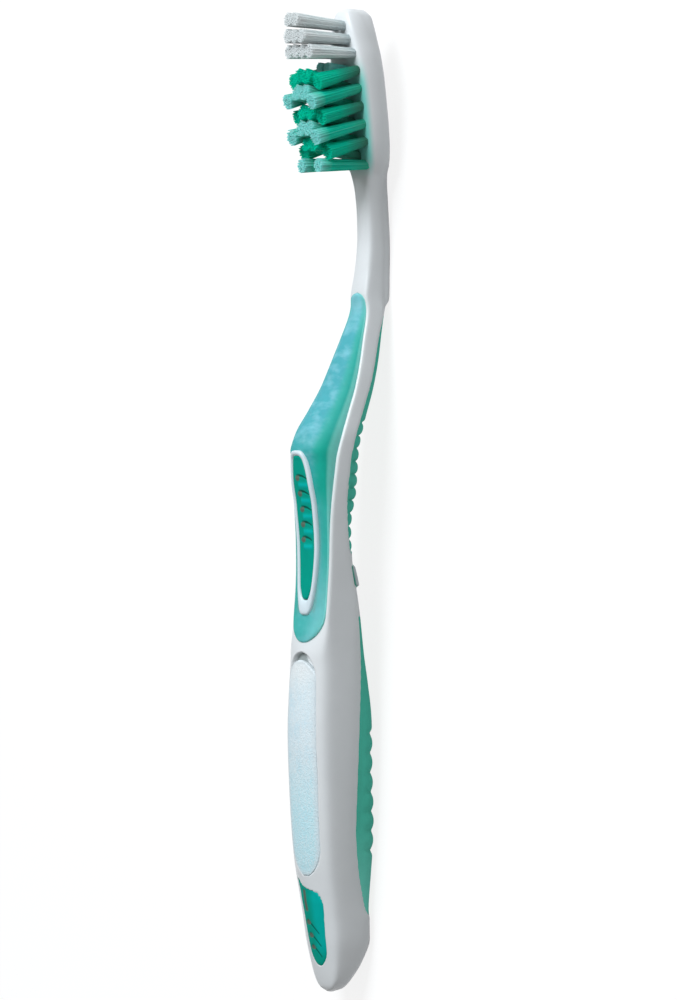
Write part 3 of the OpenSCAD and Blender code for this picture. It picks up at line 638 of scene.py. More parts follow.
def tube_piece(name: str, rings: Grid, shades: dict[str, Grid]) -> bpy.types.Object:
    """Make a closed piece through rings of points, with a hub at each end.

    Args:
        name: Name of the piece.
        rings: Points, rings by points by three.
        shades: Point attributes in the shape of the rings.

    Returns:
        The linked object.
    """
    rows, columns = rings.shape[:2]
    points = np.concatenate([rings.reshape(-1, 3), rings[:1].mean(1), rings[-1:].mean(1)])
    faces = grid_faces(rows, columns, close_rows=True)
    hub, last = rows * columns, (rows - 1) * columns
    for c in range(columns):
        d = (c + 1) % columns
        faces += [(hub, d, c), (hub + 1, last + c, last + d)]
    padded = {k: np.concatenate([v.ravel(), v[0, :1], v[-1, :1]]) for k, v in shades.items()}
    return make_mesh(name, points, faces, padded)


def sheet_piece(name: str, top: Grid, under: Grid, shades: dict[str, Grid]
                ) -> bpy.types.Object:
    """Make a closed piece between a top and an underside with the same grid.

    Args:
        name: Name of the piece.
        top: Points of the top, rows by columns by three.
        under: Points of the underside.
        shades: Attributes of the top, which the underside repeats.

    Returns:
        The linked object.
    """
    rows, columns = top.shape[:2]
    count = rows * columns
    points = np.concatenate([top.reshape(-1, 3), under.reshape(-1, 3)])
    faces = grid_faces(rows, columns)
    faces += [tuple(reversed(face)) for face in grid_faces(rows, columns, count)]
    border = ([r * columns for r in range(rows)]
              + [(rows - 1) * columns + c for c in range(1, columns)]
              + [r * columns + columns - 1 for r in range(rows - 2, -1, -1)]
              + [c for c in range(columns - 2, 0, -1)])
    for i, a in enumerate(border):
        b = border[(i + 1) % len(border)]
        faces.append((a, b, b + count, a + count))
    doubled = {k: np.concatenate([v.ravel(), v.ravel()]) for k, v in shades.items()}
    return make_mesh(name, points, faces, doubled)


def place_grid(x: Grid, y: Grid, z: Grid) -> Grid:
    """Join a place along the brush for each row with its Y and Z."""
    return np.stack([np.broadcast_to(x[:, None], y.shape), y, z], -1)


class Slot(Enum):
    """The record's material slots."""

    WHITE = "white_polypropylene"
    TURQUOISE = "turquoise_elastomer"
    GREEN = "green_elastomer"
    GRIP = "grip_elastomer"
    PANEL = "matte_panel"
    BOSS = "pale_boss"
    WHITE_BRISTLE = "white_bristle"
    PALE_BRISTLE = "pale_bristle"
    LIGHT_BRISTLE = "light_bristle"
    DARK_BRISTLE = "dark_bristle"
    ANCHOR = "anchor_metal"


Finishes = dict[Slot, bpy.types.Material]


def place_piece(piece: bpy.types.Object, slot: Slot, *nodes: str) -> None:
    """Make a piece stand for its CAD nodes and ride with the brush.

    Args:
        piece: The finished piece.
        slot: The material slot that its finish comes from; it is not used.
        *nodes: The CAD nodes that it replaces.
    """
    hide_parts(*nodes)
    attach(piece, BODY)
    LOG.info("%s: %d faces", piece.name, len(piece.data.polygons))


@dataclass(frozen=True)
class Moulding:
    """A moulded piece that stands for one CAD node."""

    name: str
    node: str
    slot: Slot

    def build(self) -> bpy.types.Object:
        """Build the piece's mesh."""
        raise NotImplementedError

    def dress(self, finishes: Finishes) -> None:
        """Build the piece, finish it and make it stand for its node.

        Args:
            finishes: The material of every slot.
        """
        piece = self.build()
        piece.data.materials.append(finishes[self.slot])
        place_piece(piece, self.slot, self.node)

    def slab(self, x: Grid, y: Grid, z: Grid, under: Grid, shades: dict[str, Grid]
             ) -> bpy.types.Object:
        """Make a piece let into the front, from its top's grid.

        Args:
            x: One place along the brush for each row.
            y: Places across, one row for each x.
            z: Heights of the top.
            under: Heights of the underside.
            shades: Point attributes of the top.

        Returns:
            The linked object.
        """
        return sheet_piece(self.name, place_grid(x, y, z), place_grid(x, y, under), shades)


@dataclass(frozen=True)
class ThumbOval:
    """The outline that the thumb ring runs along, a little off the brush's middle."""

    x0: float = FORM.thumb_at(0.147)
    x1: float = FORM.thumb_at(0.983)
    power: float = 4.0
    foot_w: float = 2.1
    foot_len: float = 6.0
    half: Profile = Profile(
        (x0, 0.19 * FORM.thumb_w), (FORM.thumb_at(0.3), 0.23 * FORM.thumb_w),
        (FORM.thumb_at(0.5), 0.265 * FORM.thumb_w), (FORM.thumb_at(0.68), 0.275 * FORM.thumb_w),
        (FORM.thumb_at(0.82), 0.27 * FORM.thumb_w), (FORM.thumb_at(0.93), 0.255 * FORM.thumb_w),
        (x1, 0.24 * FORM.thumb_w))
    middle: Profile = Profile(
        (x0, 0.075 * FORM.thumb_w), (FORM.thumb_at(0.3), 0.065 * FORM.thumb_w),
        (FORM.thumb_at(0.5), 0.042 * FORM.thumb_w), (FORM.thumb_at(0.8), 0.036 * FORM.thumb_w),
        (x1, 0.045 * FORM.thumb_w))

    @property
    def centre(self) -> float:
        """Place of the middle of the oval."""
        return (self.x0 + self.x1) / 2

    @property
    def reach(self) -> float:
        """Half the length of the oval."""
        return (self.x1 - self.x0) / 2

    def foot_share(self, x: Grid, start: float) -> Grid:
        """How near places are to the oval's lower end at start, from 0 to 1."""
        return smooth((start + self.foot_len - x) / self.foot_len)

    def half_inside(self, x: Grid, inset: float) -> Grid:
        """Half width of the outline when it is moved inwards by an inset."""
        share = np.clip(np.abs(x - self.centre) / (self.reach - inset), 0, 1)
        return (self.half(x) - inset) * (1 - share ** self.power) ** (1 / self.power)


@dataclass(frozen=True)
class FrontInsert(Moulding):
    """The turquoise insert that swells out of the white rim."""

    name: str = "turquoise_insert"
    node: str = "front_insert"
    slot: Slot = Slot.TURQUOISE
    outline: Outline = Outline(
        FORM.thumb_at(0.01), FORM.neck_at(0.07), 5.4, 1.4,
        Profile((FORM.thumb_at(0.9), FORM.rim_w), (FORM.throat_at(0.6), 0.22)))
    rise: Profile = Profile(
        (outline.x0, 0.02 * FORM.crest_h), (FORM.thumb_at(0.07), 0.045 * FORM.crest_h),
        (FORM.thumb_at(0.2), FORM.grip_h - 1.005 * FORM.rim_h),
        (FORM.thumb_at(0.5), FORM.grip_h - 0.993 * FORM.rim_h),
        (FORM.thumb_at(0.7), 1.07 * FORM.grip_h - FORM.rim_h),
        (FORM.thumb_at(0.82), 1.16 * FORM.grip_h - FORM.rim_h),
        (FORM.thumb_at(0.93), 0.975 * FORM.crest_h - 0.955 * FORM.rim_h),
        (FORM.throat_at(0), FORM.crest_h - 0.92 * FORM.rim_h),
        (FORM.throat_at(0.09), 0.955 * FORM.crest_h - 0.87 * FORM.rim_h),
        (FORM.throat_at(0.25), 0.822 * FORM.crest_h - 0.76 * FORM.rim_h),
        (FORM.throat_at(0.42), 0.675 * FORM.crest_h - 0.64 * FORM.rim_h),
        (FORM.throat_at(0.62), 0.56 * FORM.crest_h - 0.55 * FORM.rim_h),
        (FORM.throat_at(0.8), 0.07 * FORM.crest_h),
        (FORM.throat_at(0.95), 0.035 * FORM.crest_h), (outline.x1, 0.02 * FORM.crest_h))
    power: Profile = Profile(
        (outline.x0, 3.4), (FORM.thumb_at(0.6), 3.2), (FORM.thumb_at(0.85), 2.9),
        (FORM.throat_at(0.05), 2.5), (FORM.throat_at(0.3), 2.15), (FORM.throat_at(0.6), 2.0),
        (outline.x1, 2.1))
    oval: ThumbOval = ThumbOval()
    fine_ends: Row = (2.5, 1.5)
    end_round: float = 0.5
    step: float = 0.5
    end_ease: float = 3.0
    columns: int = 57
    thickness: float = 1.0
    # The crest is deeper in colour over its steep side
    crest_x0: float = 92.0
    crest_x1: float = 109.5
    crest_blend: float = 6.0
    # The crown is the top of the swell, by share of the width, and it starts at the crest; it
    # carries a painted reflection, bluer with pale blotches
    crown_share: float = 0.88
    crown_fade: float = 0.4
    crown_low: float = 0.3
    crown_blend: float = 12.0
    crown_clears: float = 0.6
    # The lower tongue is paler on its near side, and so is the tip at the neck
    tongue_x: float = 87.0
    tongue_blend: float = 14.0
    tongue_shares: Row = (0.1, 0.8)
    tongue_side: float = 0.3
    tongue_fade: float = 1.3
    pale_x: float = FORM.throat_at(0.72)
    pale_blend: float = 11.0
    # The bead throws a shadow beside it, and the side's edge catches the light
    shadow_blend: Row = (1.5, 8.0)
    side_share: float = 0.93
    side_fade: float = 0.06

    def height(self, x: Grid, y: Grid) -> Grid:
        """Height of the insert at places of a grid.

        Args:
            x: One place along the brush for each row.
            y: Places across, one row for each x.

        Returns:
            Heights in the shape of y.
        """
        half = self.outline.half(x)[:, None]
        power = self.power(x)[:, None]
        share = np.clip(np.abs(y) / half, 0, 1)
        from_end = np.minimum(x - self.outline.x0, self.outline.x1 - x)
        ends = rounded_edge(from_end, self.end_round)[:, None]
        dome = self.rise(x)[:, None] * (1 - share ** power) ** (1 / power)
        return FORM.front_height(x, half + 0 * y) + dome * ends

    def shades(self, x: Grid, y: Grid) -> dict[str, Grid]:
        """Where the insert's colour changes.

        Args:
            x: One place along the brush for each row.
            y: Places across, one row for each x.

        Returns:
            Shares by the name of the point attribute.
        """
        half = self.outline.half(x)[:, None]
        share = np.abs(y) / half
        col = np.broadcast_to(x[:, None], y.shape)
        past_crest = col - self.crest_x0
        # Painted reflection: the crown is painted bluer, with pale blotches
        crown = smooth((self.crown_share - share) / self.crown_fade)
        crown = crown * between(smooth(past_crest / self.crown_blend), self.crown_low, 1)
        deep = smooth(past_crest / self.crest_blend) * (1 - self.crown_clears * crown)
        deep = deep * smooth((self.crest_x1 - col) / self.crest_blend)
        near = smooth((self.tongue_side - y / half) / self.tongue_fade)
        tongue = smooth((self.tongue_x - col) / self.tongue_blend)
        tongue = tongue * between(near, *self.tongue_shares)
        pale = np.maximum(smooth((col - self.pale_x) / self.pale_blend), tongue)
        beside = np.abs(y - self.oval.middle(col)) - self.oval.half(col)
        start, end = self.shadow_blend
        shadow = smooth(1 - beside) * smooth((col - self.oval.x0) / start)
        shadow = shadow * smooth((self.oval.x1 - end - col) / end)
        side = smooth((share - self.side_share) / self.side_fade)
        return {"side": side, "crown": crown, "deep": deep, "pale": pale, "shadow": shadow}

    def build(self) -> bpy.types.Object:
        """Build the insert over the front.

        Returns:
            The linked object.
        """
        x = eased_steps(self.outline.x0 + GAP, self.outline.x1 - GAP, self.step, self.end_ease)
        over = np.cos(np.linspace(0, math.pi, self.columns))[None, :]
        power = 2 / self.power(x)[:, None]
        y = -self.outline.half(x)[:, None] * np.sign(over) * np.abs(over) ** power
        under = FORM.front_height(x, y) - self.thickness
        return self.slab(x, y, self.height(x, y), under, self.shades(x, y))


@dataclass(frozen=True)
class ThumbRing(Moulding):
    """The white bead that runs round the thumb pad."""

    name: str = "thumb_ring_bead"
    node: str = "thumb_ring"
    slot: Slot = Slot.WHITE
    insert: FrontInsert = FrontInsert()
    bead_w: float = 1.15
    proud: float = 0.7
    bead_power: float = 2.3
    buried: float = 0.35
    turns: int = 200
    across: int = 16

    def loop(self, inset: float) -> Grid:
        """Points of one loop round the ring.

        Args:
            inset: Share of the bead's width that the loop lies inside its outline.

        Returns:
            The points in order.
        """
        oval, depth = self.insert.oval, inset * self.bead_w
        angle = np.linspace(0, 2 * math.pi, self.turns, endpoint=False)
        power = 2 / oval.power
        along, over = np.cos(angle), np.sin(angle)
        x = oval.centre + (oval.reach - depth) * np.sign(along) * np.abs(along) ** power
        over = np.sign(over) * np.abs(over) ** power
        y = oval.middle(x) + (oval.half(x) - depth) * over
        x = x + inset * oval.foot_w * oval.foot_share(x, oval.x0)
        bow = (1 - abs(2 * inset - 1) ** self.bead_power) ** (1 / self.bead_power)
        z = self.insert.height(x, y[:, None])[:, 0] + self.proud * bow
        return np.stack([x, y, z], -1)

    def build(self) -> bpy.types.Object:
        """Build the bead from loops, with its foot sunk into the insert.

        Returns:
            The linked object.
        """
        loops = [self.loop(float(inset)) for inset in np.linspace(0, 1, self.across)]
        sunk = np.array([0, 0, self.buried])
        rings = np.stack([*loops, loops[-1] - sunk, loops[0] - sunk], 1)
        faces = grid_faces(*rings.shape[:2], close_rows=True, close_columns=True)
        points = rings.reshape(-1, 3)
        return make_mesh(self.name, points, faces, {"cool": np.ones(len(points))})


@dataclass(frozen=True)
class Mark:
    """A drop with a curved tail, moulded into a pad."""

    x: float
    y: float
    reach_x: float
    reach_y: float
    tail_x: float
    tail_y: float
    bend: float
    tail_w: float
    # The drop's soft edge, by share of its reach, and where in the drop its tail starts
    edge_share: float = 1.12
    edge_fade: float = 0.3
    root_share: Row = (0.75, 0.1)
    # How much thinner the tail's end is, and how far its soft edge reaches
    thinning: float = 0.55
    tail_edge: float = 1.4

    def drop(self, x: Grid, y: Grid) -> Grid:
        """How far each place lies inside the drop, from 0 to 1."""
        away = np.hypot((x - self.x) / self.reach_x, (y - self.y) / self.reach_y)
        return smooth((self.edge_share - away) / self.edge_fade)

    def tail(self, x: Grid, y: Grid) -> Grid:
        """How far each place lies inside the tail.

        Args:
            x: Places along the brush.
            y: Places across.

        Returns:
            Shares from 0 to 1.
        """
        ax = self.x + self.root_share[0] * self.reach_x
        ay = self.y + self.root_share[1] * self.reach_y
        bx, by = self.tail_x - ax, self.tail_y - ay
        length = math.hypot(bx, by)
        u = np.clip(((x - ax) * bx + (y - ay) * by) / length ** 2, 0, 1)
        bow = self.bend * 4 * u * (1 - u)
        cx = ax + u * bx - bow * by / length
        cy = ay + u * by + bow * bx / length
        width = self.tail_w * (1 - self.thinning * u)
        return smooth((self.tail_edge * width - np.hypot(x - cx, y - cy)) / width)


def press_marks(marks: tuple[Mark, ...], x: Grid, y: Grid) -> tuple[Grid, Grid]:
    """Join the drops and the tails of all marks of a pad.

    Args:
        marks: The pad's marks.
        x: Places along the brush.
        y: Places across.

    Returns:
        How far each place lies inside a drop, and inside a tail.
    """
    return (np.max([mark.drop(x, y) for mark in marks], 0),
            np.max([mark.tail(x, y) for mark in marks], 0))


@dataclass(frozen=True)
class ThumbPad(Moulding):
    """The deep green pad inside the ring, with its five marks."""

    name: str = "green_thumb_pad"
    node: str = "thumb_pad"
    slot: Slot = Slot.GREEN
    ring: ThumbRing = ThumbRing()
    marks: tuple[Mark, ...] = tuple(
        Mark(x, y, 0.55, 0.75, x - 0.1, y - reach, 0.25, 0.3)
        for x, y, reach in ((99.0, 1.15, 3.0), (96.0, 1.1, 2.9), (93.0, 1.05, 2.9),
                            (90.1, 1.3, 2.9), (87.2, 1.55, 2.8)))
    under_bead: float = 0.12
    step: float = 0.13
    end_ease: float = 0.8
    columns: int = 61
    edge_round: float = 0.5
    proud: float = 0.28
    pillow: float = 0.3
    buried: float = 0.3
    rib_high: float = 0.1
    tail_deep: float = 0.14
    drop_high: float = 0.05
    # A rib lies below each mark, along its tail
    rib_drop: float = 1.35
    rib_w: float = 0.5
    rib_start: float = 0.2
    rib_end: float = 3.4

    def gleam(self, x: Grid, y: Grid) -> Grid:
        """How bright the rib beside each mark shines.

        Args:
            x: Places along the brush.
            y: Places across.

        Returns:
            Shares from 0 to 1.
        """
        out = np.zeros_like(y)
        for mark in self.marks:
            over = (x - (mark.x - self.rib_drop)) / self.rib_w
            side = smooth((self.rib_start - (y - mark.y)) / self.rib_w)
            side = side * smooth((y - mark.y + self.rib_end) / self.rib_w)
            out = np.maximum(out, np.exp(-over ** 2) * side)
        return out

    def build(self) -> bpy.types.Object:
        """Build the pad between the sides of the bead.

        Returns:
            The linked object.
        """
        insert, oval = self.ring.insert, self.ring.insert.oval
        inset = self.ring.bead_w - self.under_bead
        low = oval.x0 + inset
        x = eased_steps(low + GAP, oval.x1 - inset - GAP, self.step, self.end_ease)
        half, middle = oval.half_inside(x, inset)[:, None], oval.middle(x)[:, None]
        x = x + oval.foot_w * oval.foot_share(x, low)
        y = middle - half * np.cos(np.linspace(0, math.pi, self.columns))[None, :]
        col = np.broadcast_to(x[:, None], y.shape)
        # Painted shade darkens the drops and tails of the marks, and a painted highlight
        # lightens the rib beside each
        drop, tail = press_marks(self.marks, col, y)
        gleam = self.gleam(col, y)
        edge = np.minimum(half - np.abs(y - middle), np.minimum(col - x[0], x[-1] - col))
        skin = insert.height(x, y)
        z = skin + self.proud + self.pillow * rounded_edge(edge, self.edge_round)
        z = z + self.rib_high * gleam - self.tail_deep * tail + self.drop_high * drop
        return self.slab(x, y, z, skin - self.buried,
                         {"drop": drop, "tail": tail, "gleam": gleam})


@dataclass(frozen=True)
class HeelPad(Moulding):
    """The deep green leaf on the heel, with a bar and three marks."""

    name: str = "green_heel_pad"
    node: str = "heel_pad"
    slot: Slot = Slot.GREEN
    x0: float = FORM.heel_at(0.205)
    x1: float = FORM.heel_at(0.903)
    far: Profile = Profile(
        (x0, 0.6), (FORM.heel_at(0.5), 0.66), (FORM.heel_at(0.65), 0.7),
        (FORM.heel_at(0.8), 0.84), (x1, 0.92))
    # The near edge turns across the front to a point on the far side
    near: Profile = Profile(
        (x0, -0.64), (FORM.heel_at(0.49), -0.7), (FORM.heel_at(0.69), -0.78),
        (FORM.heel_at(0.755), -0.7), (FORM.heel_at(0.805), -0.44), (FORM.heel_at(0.824), 0.0),
        (FORM.heel_at(0.842), 0.3), (x1, 0.72), (x1 + 0.3, 0.9))
    marks: tuple[Mark, ...] = (Mark(13.3, 1.55, 0.52, 0.85, 11.2, -1.6, 0.1, 0.25),
                               Mark(10.8, 1.25, 0.5, 0.8, 8.8, -1.6, 0.1, 0.25),
                               Mark(8.5, 1.15, 0.46, 0.75, 6.7, -1.3, 0.1, 0.25))
    # The bar lies a little askew: its height across at bar_from, and its slope
    bar_x: float = 17.5
    bar_half: float = 2.25
    bar_w: float = 0.68
    bar_y: float = 1.5
    bar_from: float = 15.4
    bar_slope: float = 0.1
    bar_fades: Row = (0.4, 0.3)
    # The near side gleams away from the heel's end
    gleam_share: float = 0.8
    gleam_y: float = 0.8
    gleam_w: float = 2.5
    gleam_x: float = 6.0
    gleam_blend: float = 3.0
    # The point of the leaf dips, and its end is shaded
    dip: float = 0.15
    dip_x: float = 17.0
    dip_blend: float = 2.5
    tail_deep: float = 0.1
    drop_deep: float = 0.06
    rim_share: float = 0.7
    rim_w: float = 1.3
    fine_ends: Row = (2.0, 2.0)
    round_len: float = 3.0
    least: float = 0.03
    overlap: float = 0.35
    step: float = 0.13
    end_ease: float = 1.0
    columns: int = 61
    edge_round: float = 0.8
    thickness: float = 1.0
    sink: float = 0.3
    pillow: float = 0.4

    def sides(self, x: Grid) -> tuple[Grid, Grid]:
        """Far and near edge of the pad.

        Args:
            x: Places along the brush.

        Returns:
            Two places across for each x.
        """
        ends = end_share(x, self.x0, FORM.total, self.round_len, self.round_len, self.least)
        half = FORM.front_half(x) * ends
        return half * self.far(x), half * self.near(x)

    def depth(self, x: Grid, y: Grid) -> Grid:
        """How far places lie inside the pad.

        Args:
            x: One place along the brush for each row.
            y: Places across, one row for each x.

        Returns:
            Distances across in the shape of y, and -1 past the pad's ends.
        """
        far, near = self.sides(x)
        inside = np.minimum(far[:, None] - y, y - near[:, None])
        col = x[:, None]
        return np.where((col > self.x0) & (col < self.x1), inside, -1)

    def build(self) -> bpy.types.Object:
        """Build the leaf a little below the heel's white skin.

        Returns:
            The linked object.
        """
        x = eased_steps(self.x0 + GAP, self.x1 + self.overlap, self.step, self.end_ease)
        far, near = (side[:, None] for side in self.sides(x))
        over = np.cos(np.linspace(0, math.pi, self.columns))[None, :]
        y = (far + near) / 2 - (far - near) / 2 * over
        col = np.broadcast_to(x[:, None], y.shape)
        # Painted shade darkens the drops and tails of the marks
        drop, tail = press_marks(self.marks, col, y)
        bar_y = self.bar_y + self.bar_slope * (col - self.bar_from)
        bar = smooth((self.bar_half - np.abs(col - self.bar_x)) / self.bar_fades[0])
        bar = bar * smooth((self.bar_w - np.abs(y - bar_y)) / self.bar_fades[1])
        drop = np.maximum(drop, bar)
        gleam = self.gleam_share * smooth((self.gleam_y - y) / self.gleam_w)
        gleam = gleam * smooth((col - self.gleam_x) / self.gleam_blend)
        edge = np.minimum(np.minimum(far - y, y - near), np.minimum(col - x[0], x[-1] - col))
        skin = FORM.front_height(x, y)
        z = skin - self.sink + self.pillow * rounded_edge(edge, self.edge_round)
        z = z - self.dip * smooth((col - self.dip_x) / self.dip_blend)
        z = z - self.tail_deep * tail - self.drop_deep * drop
        rim = self.rim_share * smooth(1 - (x[-1] - col) / self.rim_w)
        return self.slab(x, y, z, skin - self.thickness,
                         {"drop": drop, "tail": np.maximum(tail, rim), "gleam": gleam})


@dataclass(frozen=True)
class FrontPanel(Moulding):
    """The bluish white panel with a matt texture."""

    name: str = "matt_panel"
    node: str = "front_panel"
    slot: Slot = Slot.PANEL
    outline: Outline = Outline(
        FORM.heel_at(0.93), FORM.panel_at(0.965), 5.6, 5.2,
        Profile((FORM.heel_at(1), 1.0), (FORM.panel_at(0.5), 0.8)))
    top: float = outline.x1 - 1.5
    top_round: Row = (4.2, 3.3)
    least: float = 0.03
    fine_ends: Row = (2.0, 3.4)
    step: float = 0.5
    end_ease: float = 2.5
    columns: int = 45
    side_gap: float = 0.02
    sink: float = 0.16
    pillow: float = 0.24
    edge_round: float = 0.3
    thickness: float = 0.95
    fade_w: float = 1.6
    low_x: float = FORM.panel_at(0.6)
    low_blend: float = 18.0
    lit_len: float = 9.0

    def build(self) -> bpy.types.Object:
        """Build the panel, whose upper end is rounder than its pocket.

        Returns:
            The linked object.
        """
        x = eased_steps(self.outline.x0 + GAP, self.top - GAP, self.step, self.end_ease)
        ends = end_share(x, 0, self.top, *self.top_round, self.least)
        half = (self.outline.half(x) * ends - self.side_gap)[:, None]
        y = -half * np.cos(np.linspace(0, math.pi, self.columns))[None, :]
        col = np.broadcast_to(x[:, None], y.shape)
        edge = np.minimum(half - np.abs(y), np.minimum(col - x[0], x[-1] - col))
        skin = FORM.front_height(x, y)
        z = skin - self.sink + self.pillow * rounded_edge(edge, self.edge_round)
        # The low mask paints the lower end partly as light against its shade, and the lit mask a
        # painted highlight on the top
        shades = {"fade": smooth(1 - edge / self.fade_w),
                  "low": smooth((self.low_x - col) / self.low_blend),
                  "lit": smooth((col - self.top + self.lit_len) / self.lit_len)}
        return self.slab(x, y, z, skin - self.thickness, shades)


@dataclass(frozen=True)
class Ribs:
    """Round cross ribs, whose grooves a grip has between them."""

    first: float
    pitch: float
    count: int
    keen: float
    power: float = 2.2
    reach: float = 0.9
    fade: float = 0.4

    def grooves(self, x: Grid) -> Grid:
        """Depth of the grooves.

        Args:
            x: Places along the brush.

        Returns:
            Shares from 0 on a rib to 1 in a groove.
        """
        place = (x - self.first) / self.pitch
        ends = smooth((place + self.reach) / self.fade)
        ends = ends * smooth((self.count - 1 + self.reach - place) / self.fade)
        off = np.abs(place - np.round(place)) * 2
        return (1 - np.clip(1 - off ** self.power, 0, 1) ** self.keen) * ends


@dataclass(frozen=True)
class BackPiece(Moulding):
    """A piece let into the back, between the lower edges of the white sides."""

    outline: BackOutline
    step: float
    end_ease: float
    fine_ends: Row
    columns: int = 73
    thickness: float = 1.1
    probe: float = 0.004
    skin_sink: float = 0.2
    edge_round: float = 0.25
    groove_deep: float = 0.6
    edge_w: float = 0.35
    heelward_pale_x: float = 36.0
    heelward_pale_blend: float = 20.0

    def lift(self, x: Grid, place: Grid, edge: Grid) -> Grid:
        """Height above the back, by place, share across and distance from the edge."""
        raise NotImplementedError

    def skin(self, edge: Grid) -> Grid:
        """Height of a grip's plain skin, by the distance from its edge."""
        return self.skin_sink * rounded_edge(edge, self.edge_round) - self.skin_sink

    def build(self) -> bpy.types.Object:
        """Build the piece along the rounded back.

        Returns:
            The linked object.
        """
        x = eased_steps(self.outline.x0 + GAP, self.outline.x1 - GAP, self.step, self.end_ease)
        ring_y, ring_z, lengths, mouths = FORM.sections(x, self.outline.mouth_share(x))
        share = np.arange(FORM.ring_points + 1) / FORM.ring_points
        place = (1 - np.cos(np.linspace(0, math.pi, self.columns))) / 2
        y, z = np.empty((len(x), self.columns)), np.empty((len(x), self.columns))
        ny, nz, edge = np.empty_like(y), np.empty_like(y), np.empty_like(y)
        for i, length in enumerate(lengths):
            at = mouths[i] + place * (1 - 2 * mouths[i])
            edge[i] = np.minimum(at - mouths[i], 1 - mouths[i] - at) * length
            loop_y = np.append(ring_y[i], ring_y[i, 0])
            loop_z = np.append(ring_z[i], ring_z[i, 0])
            y[i], z[i] = np.interp(at, share, loop_y), np.interp(at, share, loop_z)
            after, before = at + self.probe, at - self.probe
            ty = np.interp(after, share, loop_y) - np.interp(before, share, loop_y)
            tz = np.interp(after, share, loop_z) - np.interp(before, share, loop_z)
            size = np.hypot(ty, tz) + TINY
            ny[i], nz[i] = -tz / size, ty / size
        lift = self.lift(x[:, None], place[None, :], edge)
        top = place_grid(x, y + ny * lift, np.maximum(z + nz * lift, 0.0))
        under = place_grid(x, y - ny * self.thickness, z - nz * self.thickness)
        # Paler towards the heel end
        heelward_pale = smooth((self.heelward_pale_x - x[:, None]) / self.heelward_pale_blend)
        # Painted shade darkens the grooves between the ribs
        shades = {"groove": np.clip(-lift / self.groove_deep, 0, 1),
                  "heelward_pale": np.broadcast_to(heelward_pale, y.shape), "edge": smooth(1 - edge / self.edge_w)}
        return sheet_piece(self.name, top, under, shades)


@dataclass(frozen=True)
class UpperGrip(BackPiece):
    """The green grip behind the thumb, with ten ribs."""

    name: str = "upper_grip"
    node: str = "upper_back_grip"
    slot: Slot = Slot.GRIP
    outline: BackOutline = BackOutline(FORM.thumb_at(0.435), FORM.throat_at(0.985), 2.0, 2.0)
    step: float = 0.2
    end_ease: float = 1.2
    fine_ends: Row = (1.2, 1.2)
    ribs: Ribs = Ribs(FORM.thumb_at(0.512), 2.5, 10, 0.62)
    groove: float = 0.66
    plain_edge: float = 0.2
    groove_blend: float = 0.8

    def lift(self, x: Grid, place: Grid, edge: Grid) -> Grid:
        """Height above the back, with a groove between each two ribs."""
        inside = smooth((edge - self.plain_edge) / self.groove_blend)
        return self.skin(edge) - self.groove * self.ribs.grooves(x) * inside


@dataclass(frozen=True)
class LowerGrip(BackPiece):
    """The green belly behind the panel, with six broad ribs."""

    name: str = "lower_grip"
    node: str = "lower_back_grip"
    slot: Slot = Slot.GRIP
    outline: BackOutline = BackOutline(FORM.heel_at(0.575), FORM.thumb_at(0.23), 1.8, 3.0)
    step: float = 0.3
    end_ease: float = 1.5
    fine_ends: Row = (1.5, 3.0)
    ribs: Ribs = Ribs(FORM.panel_at(0.13), 3.77, 6, 1.3)
    groove: float = 0.48
    plain_edge: float = 1.6
    groove_blend: float = 2.6
    swell: float = 0.2
    swell_edge: float = 1.0
    swell_rise: float = 3.0
    swell_x0: float = 24.0
    swell_x1: float = 54.0
    swell_blend: float = 8.0

    def lift(self, x: Grid, place: Grid, edge: Grid) -> Grid:
        """Height above the back, with a slight swell under the ribs.

        Args:
            x: Places along the brush.
            place: Shares across; not used.
            edge: Distances from the grip's edge.

        Returns:
            Heights in the shape of edge.
        """
        swell = smooth((x - self.swell_x0) / self.swell_blend)
        swell = swell * smooth((self.swell_x1 - x) / self.swell_blend)
        swell = swell * smooth((edge - self.swell_edge) / self.swell_rise)
        wave = smooth((edge - self.plain_edge) / self.groove_blend) * self.ribs.grooves(x)
        return self.skin(edge) + self.swell * swell - self.groove * wave


@dataclass(frozen=True)
class BackBoss(BackPiece):
    """The pale lens between the two back grips."""

    name: str = "boss_lens"
    node: str = "back_boss"
    slot: Slot = Slot.BOSS
    outline: BackOutline = BackOutline(
        FORM.thumb_at(0.284), FORM.thumb_at(0.434), 1.5, 1.5, 12.0)
    step: float = 0.25
    end_ease: float = 1.5
    fine_ends: Row = (1.2, 1.2)
    proud: float = 1.05
    lens_round: Row = (1.1, 4.6)
    least: float = 0.02
    lens_power: int = 4
    rim_sink: float = 0.02

    def lift(self, x: Grid, place: Grid, edge: Grid) -> Grid:
        """Height of the lens above the back.

        Args:
            x: Places along the brush.
            place: Shares across.
            edge: Distances from the lens's edge.

        Returns:
            Heights in the shape of edge.
        """
        low, high = self.outline.x0, self.outline.x1
        ends = end_share(x, low, high, *self.lens_round, self.least)
        across = np.sqrt(np.clip(1 - (2 * place - 1) ** self.lens_power, 0, 1))
        return self.proud * ends * across - self.rim_sink


